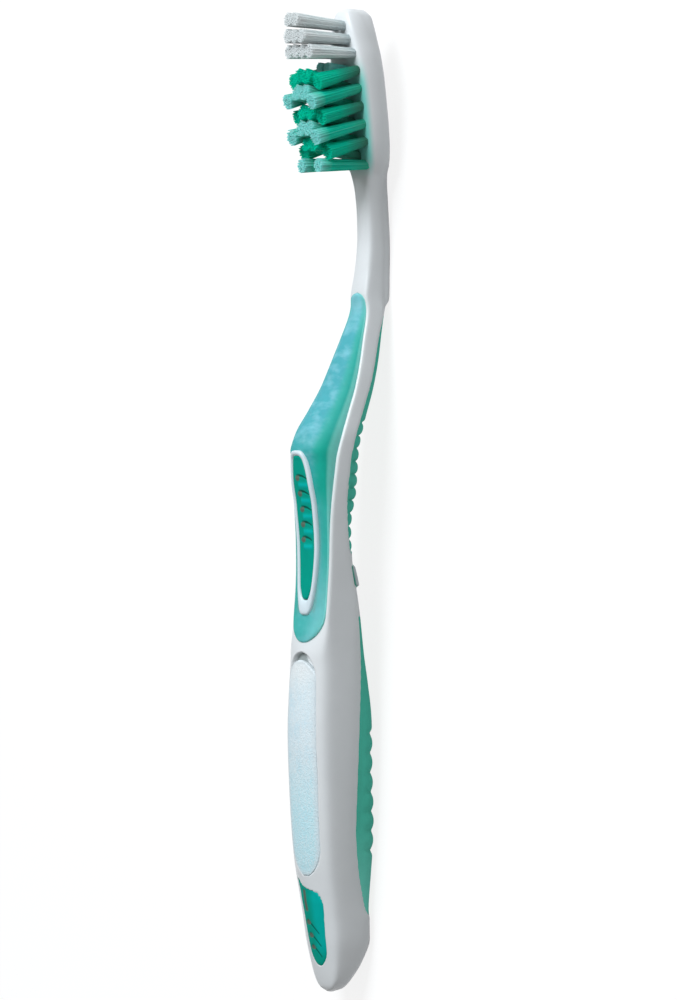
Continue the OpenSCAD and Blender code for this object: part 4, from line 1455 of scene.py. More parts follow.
@dataclass(frozen=True)
class HandleBody(Moulding):
    """The white moulding, sunk a little under everything that is let into it."""

    name: str = "handle_body"
    node: str = "handle_core"
    slot: Slot = Slot.WHITE
    insert: FrontInsert = FrontInsert()
    panel: FrontPanel = FrontPanel()
    heel_pad: HeelPad = HeelPad()
    backs: tuple[BackPiece, ...] = (LowerGrip(), BackBoss(), UpperGrip())
    step: float = 0.7
    end_ease: float = 4.0
    fine_step: float = 0.16
    fine_margin: float = 0.3
    least_step: float = 0.07
    front_share: float = 0.2
    # How deep the skin is sunk, how far inside the outline that starts, and its slope
    soft_sink: tuple[float, float, float] = (0.6, 0.2, 0.4)
    panel_sink: tuple[float, float, float] = (0.95, 0.0, 0.35)
    back_sink: tuple[float, float, float] = (0.8, 0.3, 0.6)
    # The crescent above the panel, which is open on the far side, is painted dark as shade in
    # the recess
    hollow_reach: float = 0.6
    hollow_slope: float = 0.45
    hollow_side: float = 0.66
    hollow_fade: float = 1.2
    # Painted green light, as the tufts would bounce it onto this stretch of the head's face
    cast_x0: float = 157.0
    cast_x1: float = 181.0
    cast_blend: Row = (5.0, 6.0)
    cast_share: float = 0.21
    cast_fade: float = 0.05

    def places(self) -> Grid:
        """Places of the rings, which are close together at the ends of each pocket.

        Returns:
            The places in order.
        """
        fine = [eased_steps(0, FORM.total, self.step, self.end_ease)]
        pockets = [(self.heel_pad.x0, self.heel_pad.x1, self.heel_pad.fine_ends)]
        for piece in (self.panel, self.insert, *self.backs):
            pockets.append((piece.outline.x0, piece.outline.x1, piece.fine_ends))
        for low, high, ends in pockets:
            fine.append(np.arange(low - self.fine_margin, low + ends[0], self.fine_step))
            fine.append(np.arange(high - ends[1], high + self.fine_margin, self.fine_step))
        x = np.unique(np.concatenate(fine))
        x = x[np.concatenate([[True], np.diff(x) > self.least_step])]
        x[-1] = FORM.total
        return x

    def sink(self, x: Grid, y: Grid, front: Grid, back: Grid) -> Grid:
        """How deep the skin is sunk under the pieces that are let into it.

        Args:
            x: One place along the brush for each row.
            y: Places across, one row for each x.
            front: Which points are on the front.
            back: How far points lie inside a back piece's mouth.

        Returns:
            Depths in the shape of y.
        """
        out = np.zeros_like(y)
        for inside, (deep, start, slope), where in (
                (self.insert.outline.depth(x, y), self.soft_sink, front),
                (self.heel_pad.depth(x, y), self.soft_sink, front),
                (self.panel.outline.depth(x, y), self.panel_sink, front),
                (back, self.back_sink, 1)):
            out = np.maximum(out, deep * smooth((inside - start) / slope) * where)
        return out

    def build(self) -> bpy.types.Object:
        """Build the moulding from the handle's sections.

        Returns:
            The linked object.
        """
        x = self.places()
        mouth = sum(piece.outline.mouth_share(x) for piece in self.backs)
        y, z, lengths, mouths = FORM.sections(x, mouth)
        share = np.linspace(0, 1, FORM.ring_points, endpoint=False)[None, :]
        folded = np.minimum(share, 1 - share)
        front = folded < self.front_share
        sink = self.sink(x, y, front, (folded - mouths[:, None]) * lengths[:, None])
        ty = np.roll(y, -1, 1) - np.roll(y, 1, 1)
        tz = np.roll(z, -1, 1) - np.roll(z, 1, 1)
        size = np.hypot(ty, tz) + TINY
        rings = place_grid(x, y + tz / size * sink, z - ty / size * sink)
        col, outline = x[:, None], self.panel.outline
        # Painted shade: the crescent hollow above the panel is painted dark grey
        hollow = smooth(outline.depth(x, y) / self.hollow_slope) * front
        hollow = hollow * (col > self.panel.top - self.hollow_reach)
        side = self.hollow_side * outline.half(x)[:, None] + y
        hollow = hollow * smooth(side / self.hollow_fade)
        # Painted light: green bounced from the tufts onto the head's face
        cast = smooth((col - self.cast_x0) / self.cast_blend[0])
        cast = cast * smooth((self.cast_x1 - col) / self.cast_blend[1])
        tuft_bounce_light = cast * smooth((self.cast_share - folded) / self.cast_fade)
        return tube_piece(self.name, rings, {"hollow": hollow, "tuft_bounce_light": tuft_bounce_light})


@dataclass(frozen=True)
class FilamentGroup:
    """The sizes of the node group that grows a tuft of filaments, in millimetres."""

    filaments: int = 100
    root_radius: float = 0.9
    length: float = 10.0
    flare: float = 1.3
    buried: float = 0.6
    filament_radius: float = 0.128
    bend: float = 0.08
    shake: float = 0.05
    sides: int = 5
    segments: int = 6
    flare_power: float = 1.25
    bend_power: float = 2.0
    tip_power: float = 24.0
    tip_taper: float = 0.2
    least_reach: float = 0.992
    seed_shift: float = 100.0
    # A core fills the gaps that only a hundred filaments leave
    core_sides: int = 28
    core_segments: int = 8
    core_root: float = 0.97
    core_tip: float = 0.94
    core_length: float = 0.965
    core_tone: float = 0.35

    def build(self) -> tuple[bpy.types.NodeTree, dict[str, str]]:
        """Build the group, whose filaments stand up from the origin.

        Returns:
            The group, and each input's identifier by its name.
        """
        tree = bpy.data.node_groups.new("tuft_of_filaments", "GeometryNodeTree")
        tree.interface.new_socket("Geometry", in_out="OUTPUT", socket_type="NodeSocketGeometry")
        names: dict[str, str] = {}
        for name, kind, value in (
                ("Filaments", "NodeSocketInt", self.filaments), ("Seed", "NodeSocketInt", 1),
                ("Root Radius", "NodeSocketFloat", self.root_radius * MM),
                ("Length", "NodeSocketFloat", self.length * MM),
                ("Buried", "NodeSocketFloat", self.buried * MM),
                ("Flare", "NodeSocketFloat", self.flare),
                ("Filament Radius", "NodeSocketFloat", self.filament_radius * MM),
                ("Bend", "NodeSocketFloat", self.bend * MM),
                ("Material", "NodeSocketMaterial", None)):
            socket = tree.interface.new_socket(name, in_out="INPUT", socket_type=kind)
            if value is not None:
                socket.default_value = value
            names[name] = socket.identifier
        add = partial(add_node, tree)
        given = add("NodeGroupInput", out=None).outputs
        full = add(MATH, (given["Length"], given["Buried"]), operation="ADD")
        bars = self.grow_bars(add, given, full)
        core = self.grow_core(add, given, full)
        both = add("GeometryNodeJoinGeometry", out=None)
        for mesh in (bars, core):
            tree.links.new(mesh, both.inputs[0])
        done = add("GeometryNodeRealizeInstances", (both.outputs[0],))
        done = add("GeometryNodeSetMaterial", {"Geometry": done, "Material": given["Material"]})
        add("NodeGroupOutput", (done,), None)
        return tree, names

    def scatter(self, add: Adder, given: Any) -> bpy.types.NodeSocket:
        """Scatter the filaments' feet over the tuft's hole, in a sunflower's spiral.

        Args:
            add: Adds a node to the group.
            given: The group's inputs.

        Returns:
            Points that carry each filament's root, sway, tone and reach.
        """
        index = add("GeometryNodeInputIndex")
        half = add(MATH, (index, 0.5), operation="ADD")
        share = add(MATH, (half, given["Filaments"]), operation="DIVIDE")
        out = add(MATH, (share,), operation="SQRT")
        out = add(MATH, (out, given["Root Radius"]), operation="MULTIPLY")
        turn = add(MATH, (index, GOLDEN_ANGLE), operation="MULTIPLY")
        sides = [add(MATH, (out, add(MATH, (turn,), operation=way)), operation="MULTIPLY")
                 for way in ("COSINE", "SINE")]
        root = add("ShaderNodeCombineXYZ", sides)
        sway = add("FunctionNodeRandomValue", {0: (-1.0, -1.0, 0.0), 1: (1.0, 1.0, 0.0),
                                               "Seed": given["Seed"]}, data_type="FLOAT_VECTOR")
        moved = add(VECTOR, {0: sway, "Scale": self.shake * MM}, operation="SCALE")
        root = add(VECTOR, (root, moved), operation="ADD")
        points = add("GeometryNodePoints", {"Count": given["Filaments"]})
        rows = [("root", root, "FLOAT_VECTOR"), ("sway", sway, "FLOAT_VECTOR")]
        for name, low, shift in (("tone", 0.0, 1), ("reach", self.least_reach, 2)):
            seed = add(MATH, (given["Seed"], shift * self.seed_shift), operation="ADD")
            value = add("FunctionNodeRandomValue", {2: low, 3: 1.0, "Seed": seed}, 1,
                        data_type="FLOAT")
            rows.append((name, value, "FLOAT"))
        for name, value, kind in rows:
            points = add(STORE, {"Geometry": points, "Name": name, "Value": value},
                         data_type=kind, domain="POINT")
        return points

    def grow_bars(self, add: Adder, given: Any, full: bpy.types.NodeSocket
                  ) -> bpy.types.NodeSocket:
        """Stand a thin bar on every point, then flare, bend and taper the bars.

        Args:
            add: Adds a node to the group.
            given: The group's inputs.
            full: The filaments' length with their buried part.

        Returns:
            The filaments' mesh.
        """
        bar = add("GeometryNodeMeshCylinder", {
            "Vertices": self.sides, "Side Segments": self.segments,
            "Radius": given["Filament Radius"], "Depth": 1.0}, fill_type="NGON")
        bars = add("GeometryNodeInstanceOnPoints", {
            "Points": self.scatter(add, given), "Instance": bar})
        bars = add("GeometryNodeRealizeInstances", (bars,))
        across, over, up = add("ShaderNodeSeparateXYZ", (add("GeometryNodeInputPosition"),),
                               None).outputs
        bars = add(STORE, {"Geometry": bars, "Name": "along",
                           "Value": add(MATH, (up, 0.5), operation="ADD")},
                   data_type="FLOAT", domain="POINT")
        along, root, sway, reach = (
            add("GeometryNodeInputNamedAttribute", {"Name": name}, data_type=kind)
            for name, kind in (("along", "FLOAT"), ("root", "FLOAT_VECTOR"),
                               ("sway", "FLOAT_VECTOR"), ("reach", "FLOAT")))
        wider = add(MATH, (given["Flare"], 1.0), operation="SUBTRACT")
        eased = add(MATH, (along, self.flare_power), operation="POWER")
        spread = add(MATH, (wider, eased, 1.0), operation="MULTIPLY_ADD")
        lateral = add(VECTOR, {0: root, "Scale": spread}, operation="SCALE")
        bend = add(MATH, (along, self.bend_power), operation="POWER")
        bend = add(MATH, (bend, given["Bend"]), operation="MULTIPLY")
        bent = add(VECTOR, {0: sway, "Scale": bend}, operation="SCALE")
        lateral = add(VECTOR, (lateral, bent), operation="ADD")
        height = add(MATH, (along, full), operation="MULTIPLY")
        height = add(MATH, (height, reach), operation="MULTIPLY")
        height = add(MATH, (height, given["Buried"]), operation="SUBTRACT")
        taper = add(MATH, (along, self.tip_power), operation="POWER")
        taper = add(MATH, (taper, self.tip_taper), operation="MULTIPLY")
        taper = add(MATH, (1.0, taper), operation="SUBTRACT")
        thin = [add(MATH, (side, taper), operation="MULTIPLY") for side in (across, over)]
        thick = add("ShaderNodeCombineXYZ", (*thin, height))
        place = add(VECTOR, (thick, lateral), operation="ADD")
        return add("GeometryNodeSetPosition", {"Geometry": bars, "Position": place})

    def grow_core(self, add: Adder, given: Any, full: bpy.types.NodeSocket
                  ) -> bpy.types.NodeSocket:
        """Stand a cone inside the filaments.

        Args:
            add: Adds a node to the group.
            given: The group's inputs.
            full: The filaments' length with their buried part.

        Returns:
            The core's mesh.
        """
        root = add(MATH, (given["Root Radius"], self.core_root), operation="MULTIPLY")
        tip = add(MATH, (given["Root Radius"], given["Flare"]), operation="MULTIPLY")
        tip = add(MATH, (tip, self.core_tip), operation="MULTIPLY")
        depth = add(MATH, (full, self.core_length), operation="MULTIPLY")
        cone = add("GeometryNodeMeshCone", {
            "Vertices": self.core_sides, "Side Segments": self.core_segments,
            "Radius Bottom": root, "Radius Top": tip, "Depth": depth}, "Mesh")
        up = add("ShaderNodeSeparateXYZ", (add("GeometryNodeInputPosition"),), 2)
        rise = add(MATH, (up, full), operation="DIVIDE")
        for name, value in (("along", rise), ("tone", self.core_tone)):
            cone = add(STORE, {"Geometry": cone, "Name": name, "Value": value},
                       data_type="FLOAT", domain="POINT")
        below = add(MATH, (given["Buried"], -1.0), operation="MULTIPLY")
        sunk = add("ShaderNodeCombineXYZ", {2: below})
        return add("GeometryNodeSetPosition", {"Geometry": cone, "Offset": sunk})


@dataclass(frozen=True)
class TuftRow:
    """Tufts that stand side by side across the head and are alike."""

    family: str
    x: float
    ys: tuple[float, ...]
    lean: float
    length: float
    slot: Slot
    flare: float


@dataclass(frozen=True)
class BristleField:
    """Every tuft of the head, in rows from its tip to its heel end."""

    group: FilamentGroup = FilamentGroup()
    first_seed: int = 3
    # How many stand in a row, how they lean and how long they are
    toe_rows: tuple[tuple[int, float, float], ...] = (
        (2, 2.5, 11.3), (3, 0.0, 10.9), (4, -1.5, 10.2))
    toe_inset: float = 3.4
    toe_pitch: float = 2.65
    toe_gap: float = 2.4
    toe_flare: float = 1.42
    cross_inset: float = 3.3
    cross_pitch: float = 3.4
    cross_rows: int = 5
    light_len: float = 11.4
    outer_y: float = 4.2
    outer_lean: float = -17.0
    outer_len: float = 9.5
    outer_last_len: float = 9.0
    outer_flare: float = 1.66
    inner_y: float = 1.35
    inner_lean: float = 10.0
    inner_len: float = 10.5
    inner_last: float = 2.6
    inner_flare: float = 1.7
    pale_lean: float = 3.0
    pale_len: float = 5.0
    pale_flare: float = 1.15
    heel_inset: float = 4.4
    heel_y: float = 2.95
    heel_lean: float = -4.0
    heel_len: float = 11.0
    heel_flare: float = 1.5

    def rows(self) -> list[TuftRow]:
        """Lay out the rows, with light and dark ones in turn.

        Returns:
            The rows in the order of their seeds.
        """
        toe_x = [FORM.total - self.toe_inset - row * self.toe_pitch for row in range(3)]
        cross_x = toe_x[-1] - self.cross_inset
        last_x = cross_x - (self.cross_rows - 1) * self.cross_pitch
        made = []
        for x, (many, lean, length) in zip(toe_x, self.toe_rows):
            ys = tuple((i - (many - 1) / 2) * self.toe_gap for i in range(many))
            made.append(TuftRow("toe", x, ys, lean, length, Slot.WHITE_BRISTLE, self.toe_flare))
        pair = (-self.outer_y, self.outer_y)
        for row in range(self.cross_rows):
            length, slot = self.outer_len, Slot.DARK_BRISTLE
            if row % 2 == 1:
                length, slot = self.light_len, Slot.LIGHT_BRISTLE
            elif row == self.cross_rows - 1:
                length = self.outer_last_len
            made.append(TuftRow("outer", cross_x - row * self.cross_pitch, pair,
                                self.outer_lean, length, slot, self.outer_flare))
        pair = (-self.inner_y, self.inner_y)
        for row in range(1, self.cross_rows + 1):
            length, slot = self.inner_len, Slot.DARK_BRISTLE
            if row % 2 == 0:
                length, slot = self.light_len, Slot.LIGHT_BRISTLE
            x = cross_x - row * self.cross_pitch
            if row == self.cross_rows:
                x = last_x - self.inner_last
            made.append(TuftRow("inner", x, pair, self.inner_lean, length, slot,
                                self.inner_flare))
        made.append(TuftRow("pale", cross_x, pair, self.pale_lean, self.pale_len,
                            Slot.PALE_BRISTLE, self.pale_flare))
        made.append(TuftRow("heel", last_x - self.heel_inset, (-self.heel_y, self.heel_y),
                            self.heel_lean, self.heel_len, Slot.LIGHT_BRISTLE,
                            self.heel_flare))
        return made

    def grow(self, row: TuftRow, y: float, tree: bpy.types.NodeTree, inputs: dict[str, Any]
             ) -> bpy.types.Mesh:
        """Grow one tuft on the head's face.

        Args:
            row: The row that it stands in.
            y: Its place across the head.
            tree: The group of nodes that grows it.
            inputs: The group's inputs by their identifiers.

        Returns:
            The tuft as a plain mesh, in its place.
        """
        carrier = link_object("carrier", bpy.data.meshes.new("carrier"))
        grower = carrier.modifiers.new("grow", "NODES")
        grower.node_group = tree
        for key, value in inputs.items():
            grower[key] = value
        graph = bpy.context.evaluated_depsgraph_get()
        mesh = bpy.data.meshes.new_from_object(carrier.evaluated_get(graph))
        carrier.modifiers.remove(grower)
        bpy.data.objects.remove(carrier)
        face = FORM.front_height(np.array([row.x]), np.array([[y]]))[0, 0]
        spot = Vector(((row.x - FORM.total / 2) * MM, y * MM, float(face) * MM))
        turn = Matrix.Rotation(math.radians(row.lean), 4, "Y")
        mesh.transform(Matrix.Translation(spot) @ turn)
        return mesh

    def dress(self, finishes: Finishes) -> None:
        """Grow every tuft and make it stand for its node.

        Args:
            finishes: The material of every slot.
        """
        tree, names = self.group.build()
        counts: Counter[str] = Counter()
        seed = self.first_seed
        for row in self.rows():
            for y in row.ys:
                counts[row.family] += 1
                node = f"{row.family}_tuft_{counts[row.family]}"
                mesh = self.grow(row, y, tree, {
                    names["Seed"]: seed, names["Length"]: row.length * MM,
                    names["Flare"]: row.flare, names["Material"]: finishes[row.slot]})
                mesh.name = f"{node}_filaments"
                place_piece(link_object(mesh.name, mesh), row.slot, node)
                seed += 1


@dataclass(frozen=True)
class Anchors:
    """The metal plates in the bottoms of the holes, which keep their CAD shape."""

    node: str = "tuft_anchors"
    slot: Slot = Slot.ANCHOR

    def dress(self, finishes: Finishes) -> None:
        """Give the plates their metal.

        Args:
            finishes: The material of every slot.
        """
        plates = frame["nodes"][self.node]
        plates.data.materials.clear()
        plates.data.materials.append(finishes[self.slot])
        LOG.info("%s: %d faces", self.node, len(plates.data.polygons))


@dataclass(frozen=True)
class Layer:
    """A colour laid over the ones before it, as far as a point attribute asks for it."""

    colour: str
    mask: str = ""
    share: float = 1.0
    start: float = 0.0
    end: float = 1.0
    start_share: float = 0.0
    # Blotches that break the layer up, by their length along and across the brush, and
    # the levels of their noise between which they fade in
    blotch_mm: Row | None = None
    blotch_levels: Row = (0.45, 0.68)
    blotch_detail: float = 3.0

    def amount(self, add: Adder, place: bpy.types.NodeSocket) -> Any:
        """How much of the layer's colour shows.

        Args:
            add: Adds a node to the material.
            place: Object coordinates in millimetres.

        Returns:
            A constant or a socket, from 0 to 1.
        """
        out: Any = self.share
        if self.mask:
            value = add("ShaderNodeAttribute", (), "Fac", attribute_name=self.mask)
            out = add(REMAP, (value, self.start, self.end, self.start_share, self.share))
        if self.blotch_mm:
            along, across = self.blotch_mm
            stretch = (1 / along, 1 / across, 1 / along)
            stretched = add(VECTOR, (place, stretch), operation="MULTIPLY")
            noise = add("ShaderNodeTexNoise", {"Vector": stretched, "Scale": 1.0,
                                               "Detail": self.blotch_detail})
            blotches = add(REMAP, (noise, *self.blotch_levels))
            out = add(MATH, (blotches, out), operation="MULTIPLY")
        return out


@dataclass(frozen=True)
class Finish:
    """What a material is, how it looks, and the colours laid over its own."""

    name: str
    colour: str
    roughness: float
    ior: float = 1.5
    specular: float = 0.5
    metallic: float = 0.0
    subsurface: float = 0.0
    scatter_mm: tuple[float, float, float] = (1.0, 1.0, 1.0)
    translucent: float = 0.0
    mottle: float = 0.0
    mottle_mm: float = 1.0
    mottle_levels: Row = (0.3, 0.7)
    grain: float = 0.0
    grain_mm: float = 0.2
    bump_mm: float = 0.2
    detail: float = 2.0
    layers: tuple[Layer, ...] = ()

    def lay_colours(self, add: Adder, place: bpy.types.NodeSocket) -> Any:
        """Blend the finish's layers and its faint mottle.

        Args:
            add: Adds a node to the material.
            place: Object coordinates in millimetres.

        Returns:
            The colour, as a constant or a socket.
        """
        colour: Any = linear(self.colour)
        for layer in self.layers:
            amount = layer.amount(add, place)
            colour = add("ShaderNodeMix", {0: amount, 6: colour, 7: linear(layer.colour)}, 2,
                         data_type="RGBA")
        if self.mottle:
            noise = add("ShaderNodeTexNoise", {"Vector": place, "Scale": 1 / self.mottle_mm,
                                               "Detail": self.detail})
            level = add(REMAP, (noise, *self.mottle_levels, 1 - self.mottle, 1.0))
            grey = add("ShaderNodeCombineColor", (level, level, level))
            colour = add("ShaderNodeMix", {0: 1.0, 6: colour, 7: grey}, 2, data_type="RGBA",
                         blend_type="MULTIPLY")
        return colour

    def build(self) -> bpy.types.Material:
        """Build the material.

        Returns:
            A material whose patterns are measured in millimetres on the object.
        """
        material = bpy.data.materials.new(self.name)
        material.use_nodes = True
        material.node_tree.nodes.clear()
        add = partial(add_node, material.node_tree)
        place = add("ShaderNodeTexCoord", (), "Object")
        place = add(VECTOR, {0: place, "Scale": 1 / MM}, operation="SCALE")
        colour = self.lay_colours(add, place)
        inputs = {"Base Color": colour, "IOR": self.ior, "Metallic": self.metallic,
                  "Roughness": self.roughness, "Subsurface Weight": self.subsurface,
                  "Specular IOR Level": self.specular, "Subsurface Scale": 1.0,
                  "Subsurface Radius": tuple(r * MM for r in self.scatter_mm)}
        if self.grain:
            noise = add("ShaderNodeTexNoise", {"Vector": place, "Scale": 1 / self.grain_mm,
                                               "Detail": self.detail})
            inputs["Normal"] = add("ShaderNodeBump", {
                "Height": noise, "Strength": self.grain, "Distance": self.bump_mm * MM})
        surface = add("ShaderNodeBsdfPrincipled", inputs)
        if self.translucent:
            through = add("ShaderNodeBsdfTranslucent", {"Color": colour})
            surface = add("ShaderNodeMixShader", (self.translucent, surface, through))
        add("ShaderNodeOutputMaterial", (surface,), None)
        return material


@dataclass(frozen=True)
class FilamentColours:
    """How a filament's colour changes from its foot to its tip."""

    # The foot is painted darker as shade at the roots, and the tip paler as a painted glow
    foot: str
    tip: str
    streak: str
    foot_share: float = 0.6
    foot_end: float = 0.45
    tip_start: float = 0.72
    tip_share: float = 0.6
    foot_start: float = 0.05
    # A few stray filaments are paler or brighter than the rest
    streak_start: float = 0.5
    streak_share: float = 0.6

    def layers(self) -> tuple[Layer, ...]:
        """Lay the streaks, then the foot and the tip.

        Returns:
            The layers in order.
        """
        # The foot layer is painted shade at the roots, and the tip layer a painted glow
        return (Layer(self.streak, "tone", self.streak_share, self.streak_start),
                Layer(self.foot, "along", 0.0, self.foot_start, self.foot_end,
                      self.foot_share),
                Layer(self.tip, "along", self.tip_share, self.tip_start))


# Every grain and mottle below is given in millimetres. The grains of the grip and of the
# panel are finer on the real brush, about 0.05 and 0.1 mm, and are drawn as coarse as they
# need to show.
FINISHES: dict[Slot, Finish] = {
    # Polypropylene moulded in a polished tool: a soft sheen and a faint waxy depth
    Slot.WHITE: Finish(
        "moulded_polypropylene", "#EAECED", 0.32, 1.49, subsurface=0.1,
        scatter_mm=(0.9, 0.9, 0.9), mottle=0.02, mottle_mm=4.0, grain=0.02, grain_mm=0.25,
        # The dark grey layer is painted shade in the crescent above the panel
        layers=(Layer("#DCF1FB", "cool", 0.6), Layer("#7C8886", "hollow", 0.75),
                # The turquoise layer is painted green light bounced from the tufts onto the head
                Layer("#4FD6C8", "tuft_bounce_light", 0.8))),
    # Tinted clear elastomer moulded over the core: cloudy, deep, and almost without shine of its
    # own
    Slot.TURQUOISE: Finish(
        "clouded_elastomer", "#3AB4A8", 0.5, 1.5, 0.1, subsurface=0.3,
        scatter_mm=(0.8, 2.2, 2.2), mottle=0.06, mottle_mm=1.2, grain=0.03, grain_mm=0.2,
        # Painted light over its colour: a bluer reflection with pale blotches on the crown, a
        # lighter near edge, and a shadow beside the bead
        layers=(Layer("#55B1BB", "crown"), Layer("#9AD6E4", "crown", 0.55, blotch_mm=(2.0, 4.5)),
                Layer("#9ADBE2", "pale", 0.6), Layer("#0BAE98", "deep", 0.85),
                Layer("#93EADF", "side", 0.7), Layer("#7DA9A5", "shadow", 0.6))),
    # Deep green elastomer from the same moulding step: dull and even, so its marks show; their
    # darker drops and tails are painted shade, and the lighter ribs beside them a painted
    # highlight
    Slot.GREEN: Finish(
        "smooth_elastomer", "#00A18C", 0.6, 1.5, 0.06, mottle=0.06, mottle_mm=1.5, grain=0.05,
        grain_mm=0.15, layers=(Layer("#00B9B2", "gleam"), Layer("#005A48", "tail"),
                               Layer("#5F6F62", "drop"))),
    # Elastomer from a spark-eroded tool: a dry, pale surface with no clear highlight, paler
    # towards the heel end
    Slot.GRIP: Finish(
        "grained_elastomer", "#55D2B8", 0.65, 1.48, 0.2, mottle=0.05, mottle_mm=1.5,
        grain=0.08, grain_mm=0.12,
        # The darker green layer is painted shade in the grooves
        layers=(Layer("#84F2DC", "heelward_pale", 0.85), Layer("#2F8C74", "groove", 0.35))),
    # Polypropylene with an eroded texture and small bluish flecks; its sparkle is painted as
    # fine white flecks
    Slot.PANEL: Finish(
        "textured_polypropylene", "#E9F9FF", 0.6, 1.49, mottle=0.07, mottle_mm=0.6, grain=0.8,
        grain_mm=0.3,
        layers=(Layer("#B9E8FA", share=0.35, blotch_mm=(3.5, 2.2)),
                # The lower end is painted bluer, partly its own colour and partly painted light
                # against the shade there
                Layer("#C6F6FF", "low", 0.75),
                Layer("#FAFEFF", share=0.45, blotch_mm=(0.55, 0.4)),
                # A painted highlight whitens the top
                Layer("#FCFFFF", "lit", 0.9), Layer("#E6F0F4", "fade", 0.75))),
    # A plain moulded lens of polypropylene, a little greyer than the core
    Slot.BOSS: Finish("plain_polypropylene", "#C9D0D2", 0.45, 1.49, mottle=0.02,
                      layers=(Layer("#3FB79E", "edge"),)),
    # Extruded nylon filaments, which pass light: the paler tips are a painted glow, the darker
    # feet painted shade, and the colours are set brighter than the nylon to make up for the
    # shade inside a tuft
    Slot.WHITE_BRISTLE: Finish(
        "clear_nylon", "#FAFFFF", 0.3, 1.53, 0.5, translucent=0.58,
        layers=FilamentColours("#DDE8EA", "#FFFFFF", "#FFFFFF", 0.5, 0.3).layers()),
    Slot.PALE_BRISTLE: Finish(
        "pale_nylon", "#D4FFFE", 0.3, 1.53, 0.4, translucent=0.85,
        layers=FilamentColours("#9CF4EC", "#F4FFFF", "#D8FFFC").layers()),
    Slot.LIGHT_BRISTLE: Finish(
        "light_nylon", "#0CEEDA", 0.3, 1.53, 0.3, translucent=0.62,
        layers=FilamentColours("#6CD8BC", "#D8FEFF", "#6CF6E8", 0.6, 0.45, 0.76,
                               0.85).layers()),
    Slot.DARK_BRISTLE: Finish(
        "dark_nylon", "#00ECD2", 0.35, 1.53, 0.2, translucent=0.58,
        layers=FilamentColours("#6A9C84", "#00F4E0", "#00D0B4", 0.85, 0.6, 0.6,
                               0.5).layers()),
    # Brass strip, stamped: small bright plates at the bottom of the holes
    Slot.ANCHOR: Finish("stamped_brass", "#C9B26A", 0.3, metallic=1.0, grain=0.05),
}


@dataclass(frozen=True)
class Floor:
    """A plain pale floor that the camera sees as white, with the brush's shadow."""

    half: float = 3.0
    lit_grey: float = 0.2
    glow: float = 0.84
    plain_grey: float = 0.5

    def build(self) -> None:
        """Lay the floor under the brush."""
        r = self.half
        mesh = bpy.data.meshes.new("floor")
        mesh.from_pydata([(-r, -r, 0), (r, -r, 0), (r, r, 0), (-r, r, 0)], [], [(0, 1, 2, 3)])
        material = bpy.data.materials.new("pale_floor")
        material.use_nodes = True
        material.node_tree.nodes.clear()
        add = partial(add_node, material.node_tree)
        path = add("ShaderNodeLightPath", out=None).outputs
        mirrored = add(MATH, (path["Is Glossy Ray"], path["Is Transmission Ray"]),
                       operation="MAXIMUM")
        seen = add(MATH, (path["Is Camera Ray"], mirrored), operation="MAXIMUM")
        lit = add("ShaderNodeBsdfDiffuse", {"Color": (*[self.lit_grey] * 3, 1.0)})
        glow = add("ShaderNodeEmission", {"Color": linear("#FFFFFF"), "Strength": self.glow})
        white = add("ShaderNodeAddShader", (lit, glow))
        plain = add("ShaderNodeBsdfDiffuse", {"Color": (*[self.plain_grey] * 3, 1.0)})
        mixed = add("ShaderNodeMixShader", (seen, plain, white))
        add("ShaderNodeOutputMaterial", (mixed,), None)
        mesh.materials.append(material)
        link_object("floor", mesh)


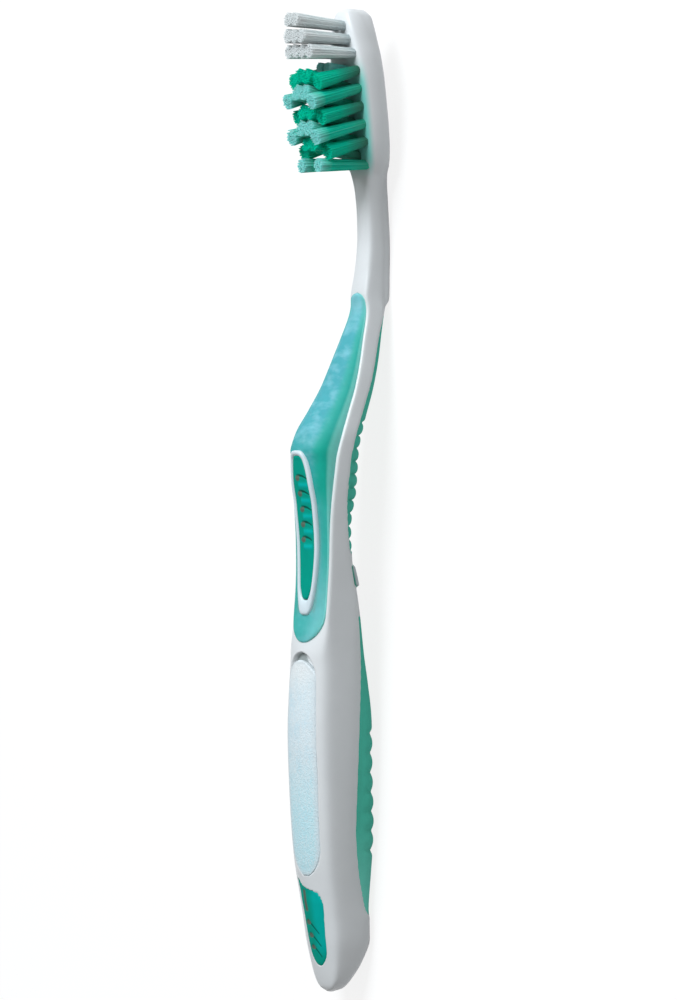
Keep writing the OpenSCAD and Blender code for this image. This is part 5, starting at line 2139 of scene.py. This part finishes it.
@dataclass(frozen=True)
class Studio:
    """One soft lamp, and a white world that fills the shadows."""

    lamp_place: tuple[float, float, float] = (0.62, -0.1, 0.76)
    lamp_size: float = 0.5
    lamp_watts: float = 9.8
    lamp_colour: str = "#F3FAFF"
    world_strength: float = 0.26

    def build(self) -> None:
        """Hang the lamp over the brush and set up the world."""
        data = bpy.data.lights.new("key", "AREA")
        data.shape, data.size, data.energy = "SQUARE", self.lamp_size, self.lamp_watts
        data.color = linear(self.lamp_colour)[:3]
        lamp = link_object("key", data)
        lamp.location = self.lamp_place
        aim = -Vector(self.lamp_place)
        lamp.rotation_euler = aim.to_track_quat("-Z", "Y").to_euler()
        world = bpy.data.worlds.new("studio")
        bpy.context.scene.world = world
        world.use_nodes = True
        world.node_tree.nodes.clear()
        add = partial(add_node, world.node_tree)
        glow = add("ShaderNodeBackground", {"Color": linear("#FFFFFF"),
                                            "Strength": self.world_strength})
        add("ShaderNodeOutputWorld", (glow,), None)
        bpy.context.scene.view_settings.view_transform = "Standard"


@dataclass(frozen=True)
class Viewpoint:
    """Where the photograph was taken from."""

    raise_deg: float = 33.0
    roll_deg: float = 2.31
    lens_mm: float = 250.0
    sensor_mm: float = 36.0
    frame_mm: float = 193.42
    aim_mm: tuple[float, float, float] = (0.1, 0.0, 8.68)
    clip_m: Row = (0.1, 20.0)

    def build(self) -> None:
        """Set up the camera at the photograph's angle, with the heel at the bottom."""
        a, r = math.radians(self.raise_deg), math.radians(self.roll_deg)
        forward = Vector((0, math.cos(a), -math.sin(a)))
        right = Vector((math.sin(r), -math.cos(r) * math.sin(a), -math.cos(r) * math.cos(a)))
        up = Vector((math.cos(r), math.sin(r) * math.sin(a), math.sin(r) * math.cos(a)))
        data = bpy.data.cameras.new("camera")
        data.lens, data.sensor_width = self.lens_mm, self.sensor_mm
        data.clip_start, data.clip_end = self.clip_m
        camera = link_object("camera", data)
        distance = self.frame_mm * MM * self.lens_mm / self.sensor_mm
        turn = Matrix((right, up, -forward)).transposed()
        place = Vector(self.aim_mm) * MM - forward * distance
        camera.matrix_world = Matrix.Translation(place) @ turn.to_4x4()
        bpy.context.scene.camera = camera


def main() -> None:
    """Dress the frame and set up the studio."""
    finishes = {slot: finish.build() for slot, finish in FINISHES.items()}
    parts = (HandleBody(), FrontInsert(), ThumbRing(), ThumbPad(), HeelPad(), FrontPanel(),
             UpperGrip(), LowerGrip(), BackBoss(), BristleField(), Anchors())
    for part in parts:
        part.dress(finishes)
    for fitting in (Floor(), Studio(), Viewpoint()):
        fitting.build()


if __name__ == "__main__":
    logging.basicConfig(level=logging.INFO)
    main()
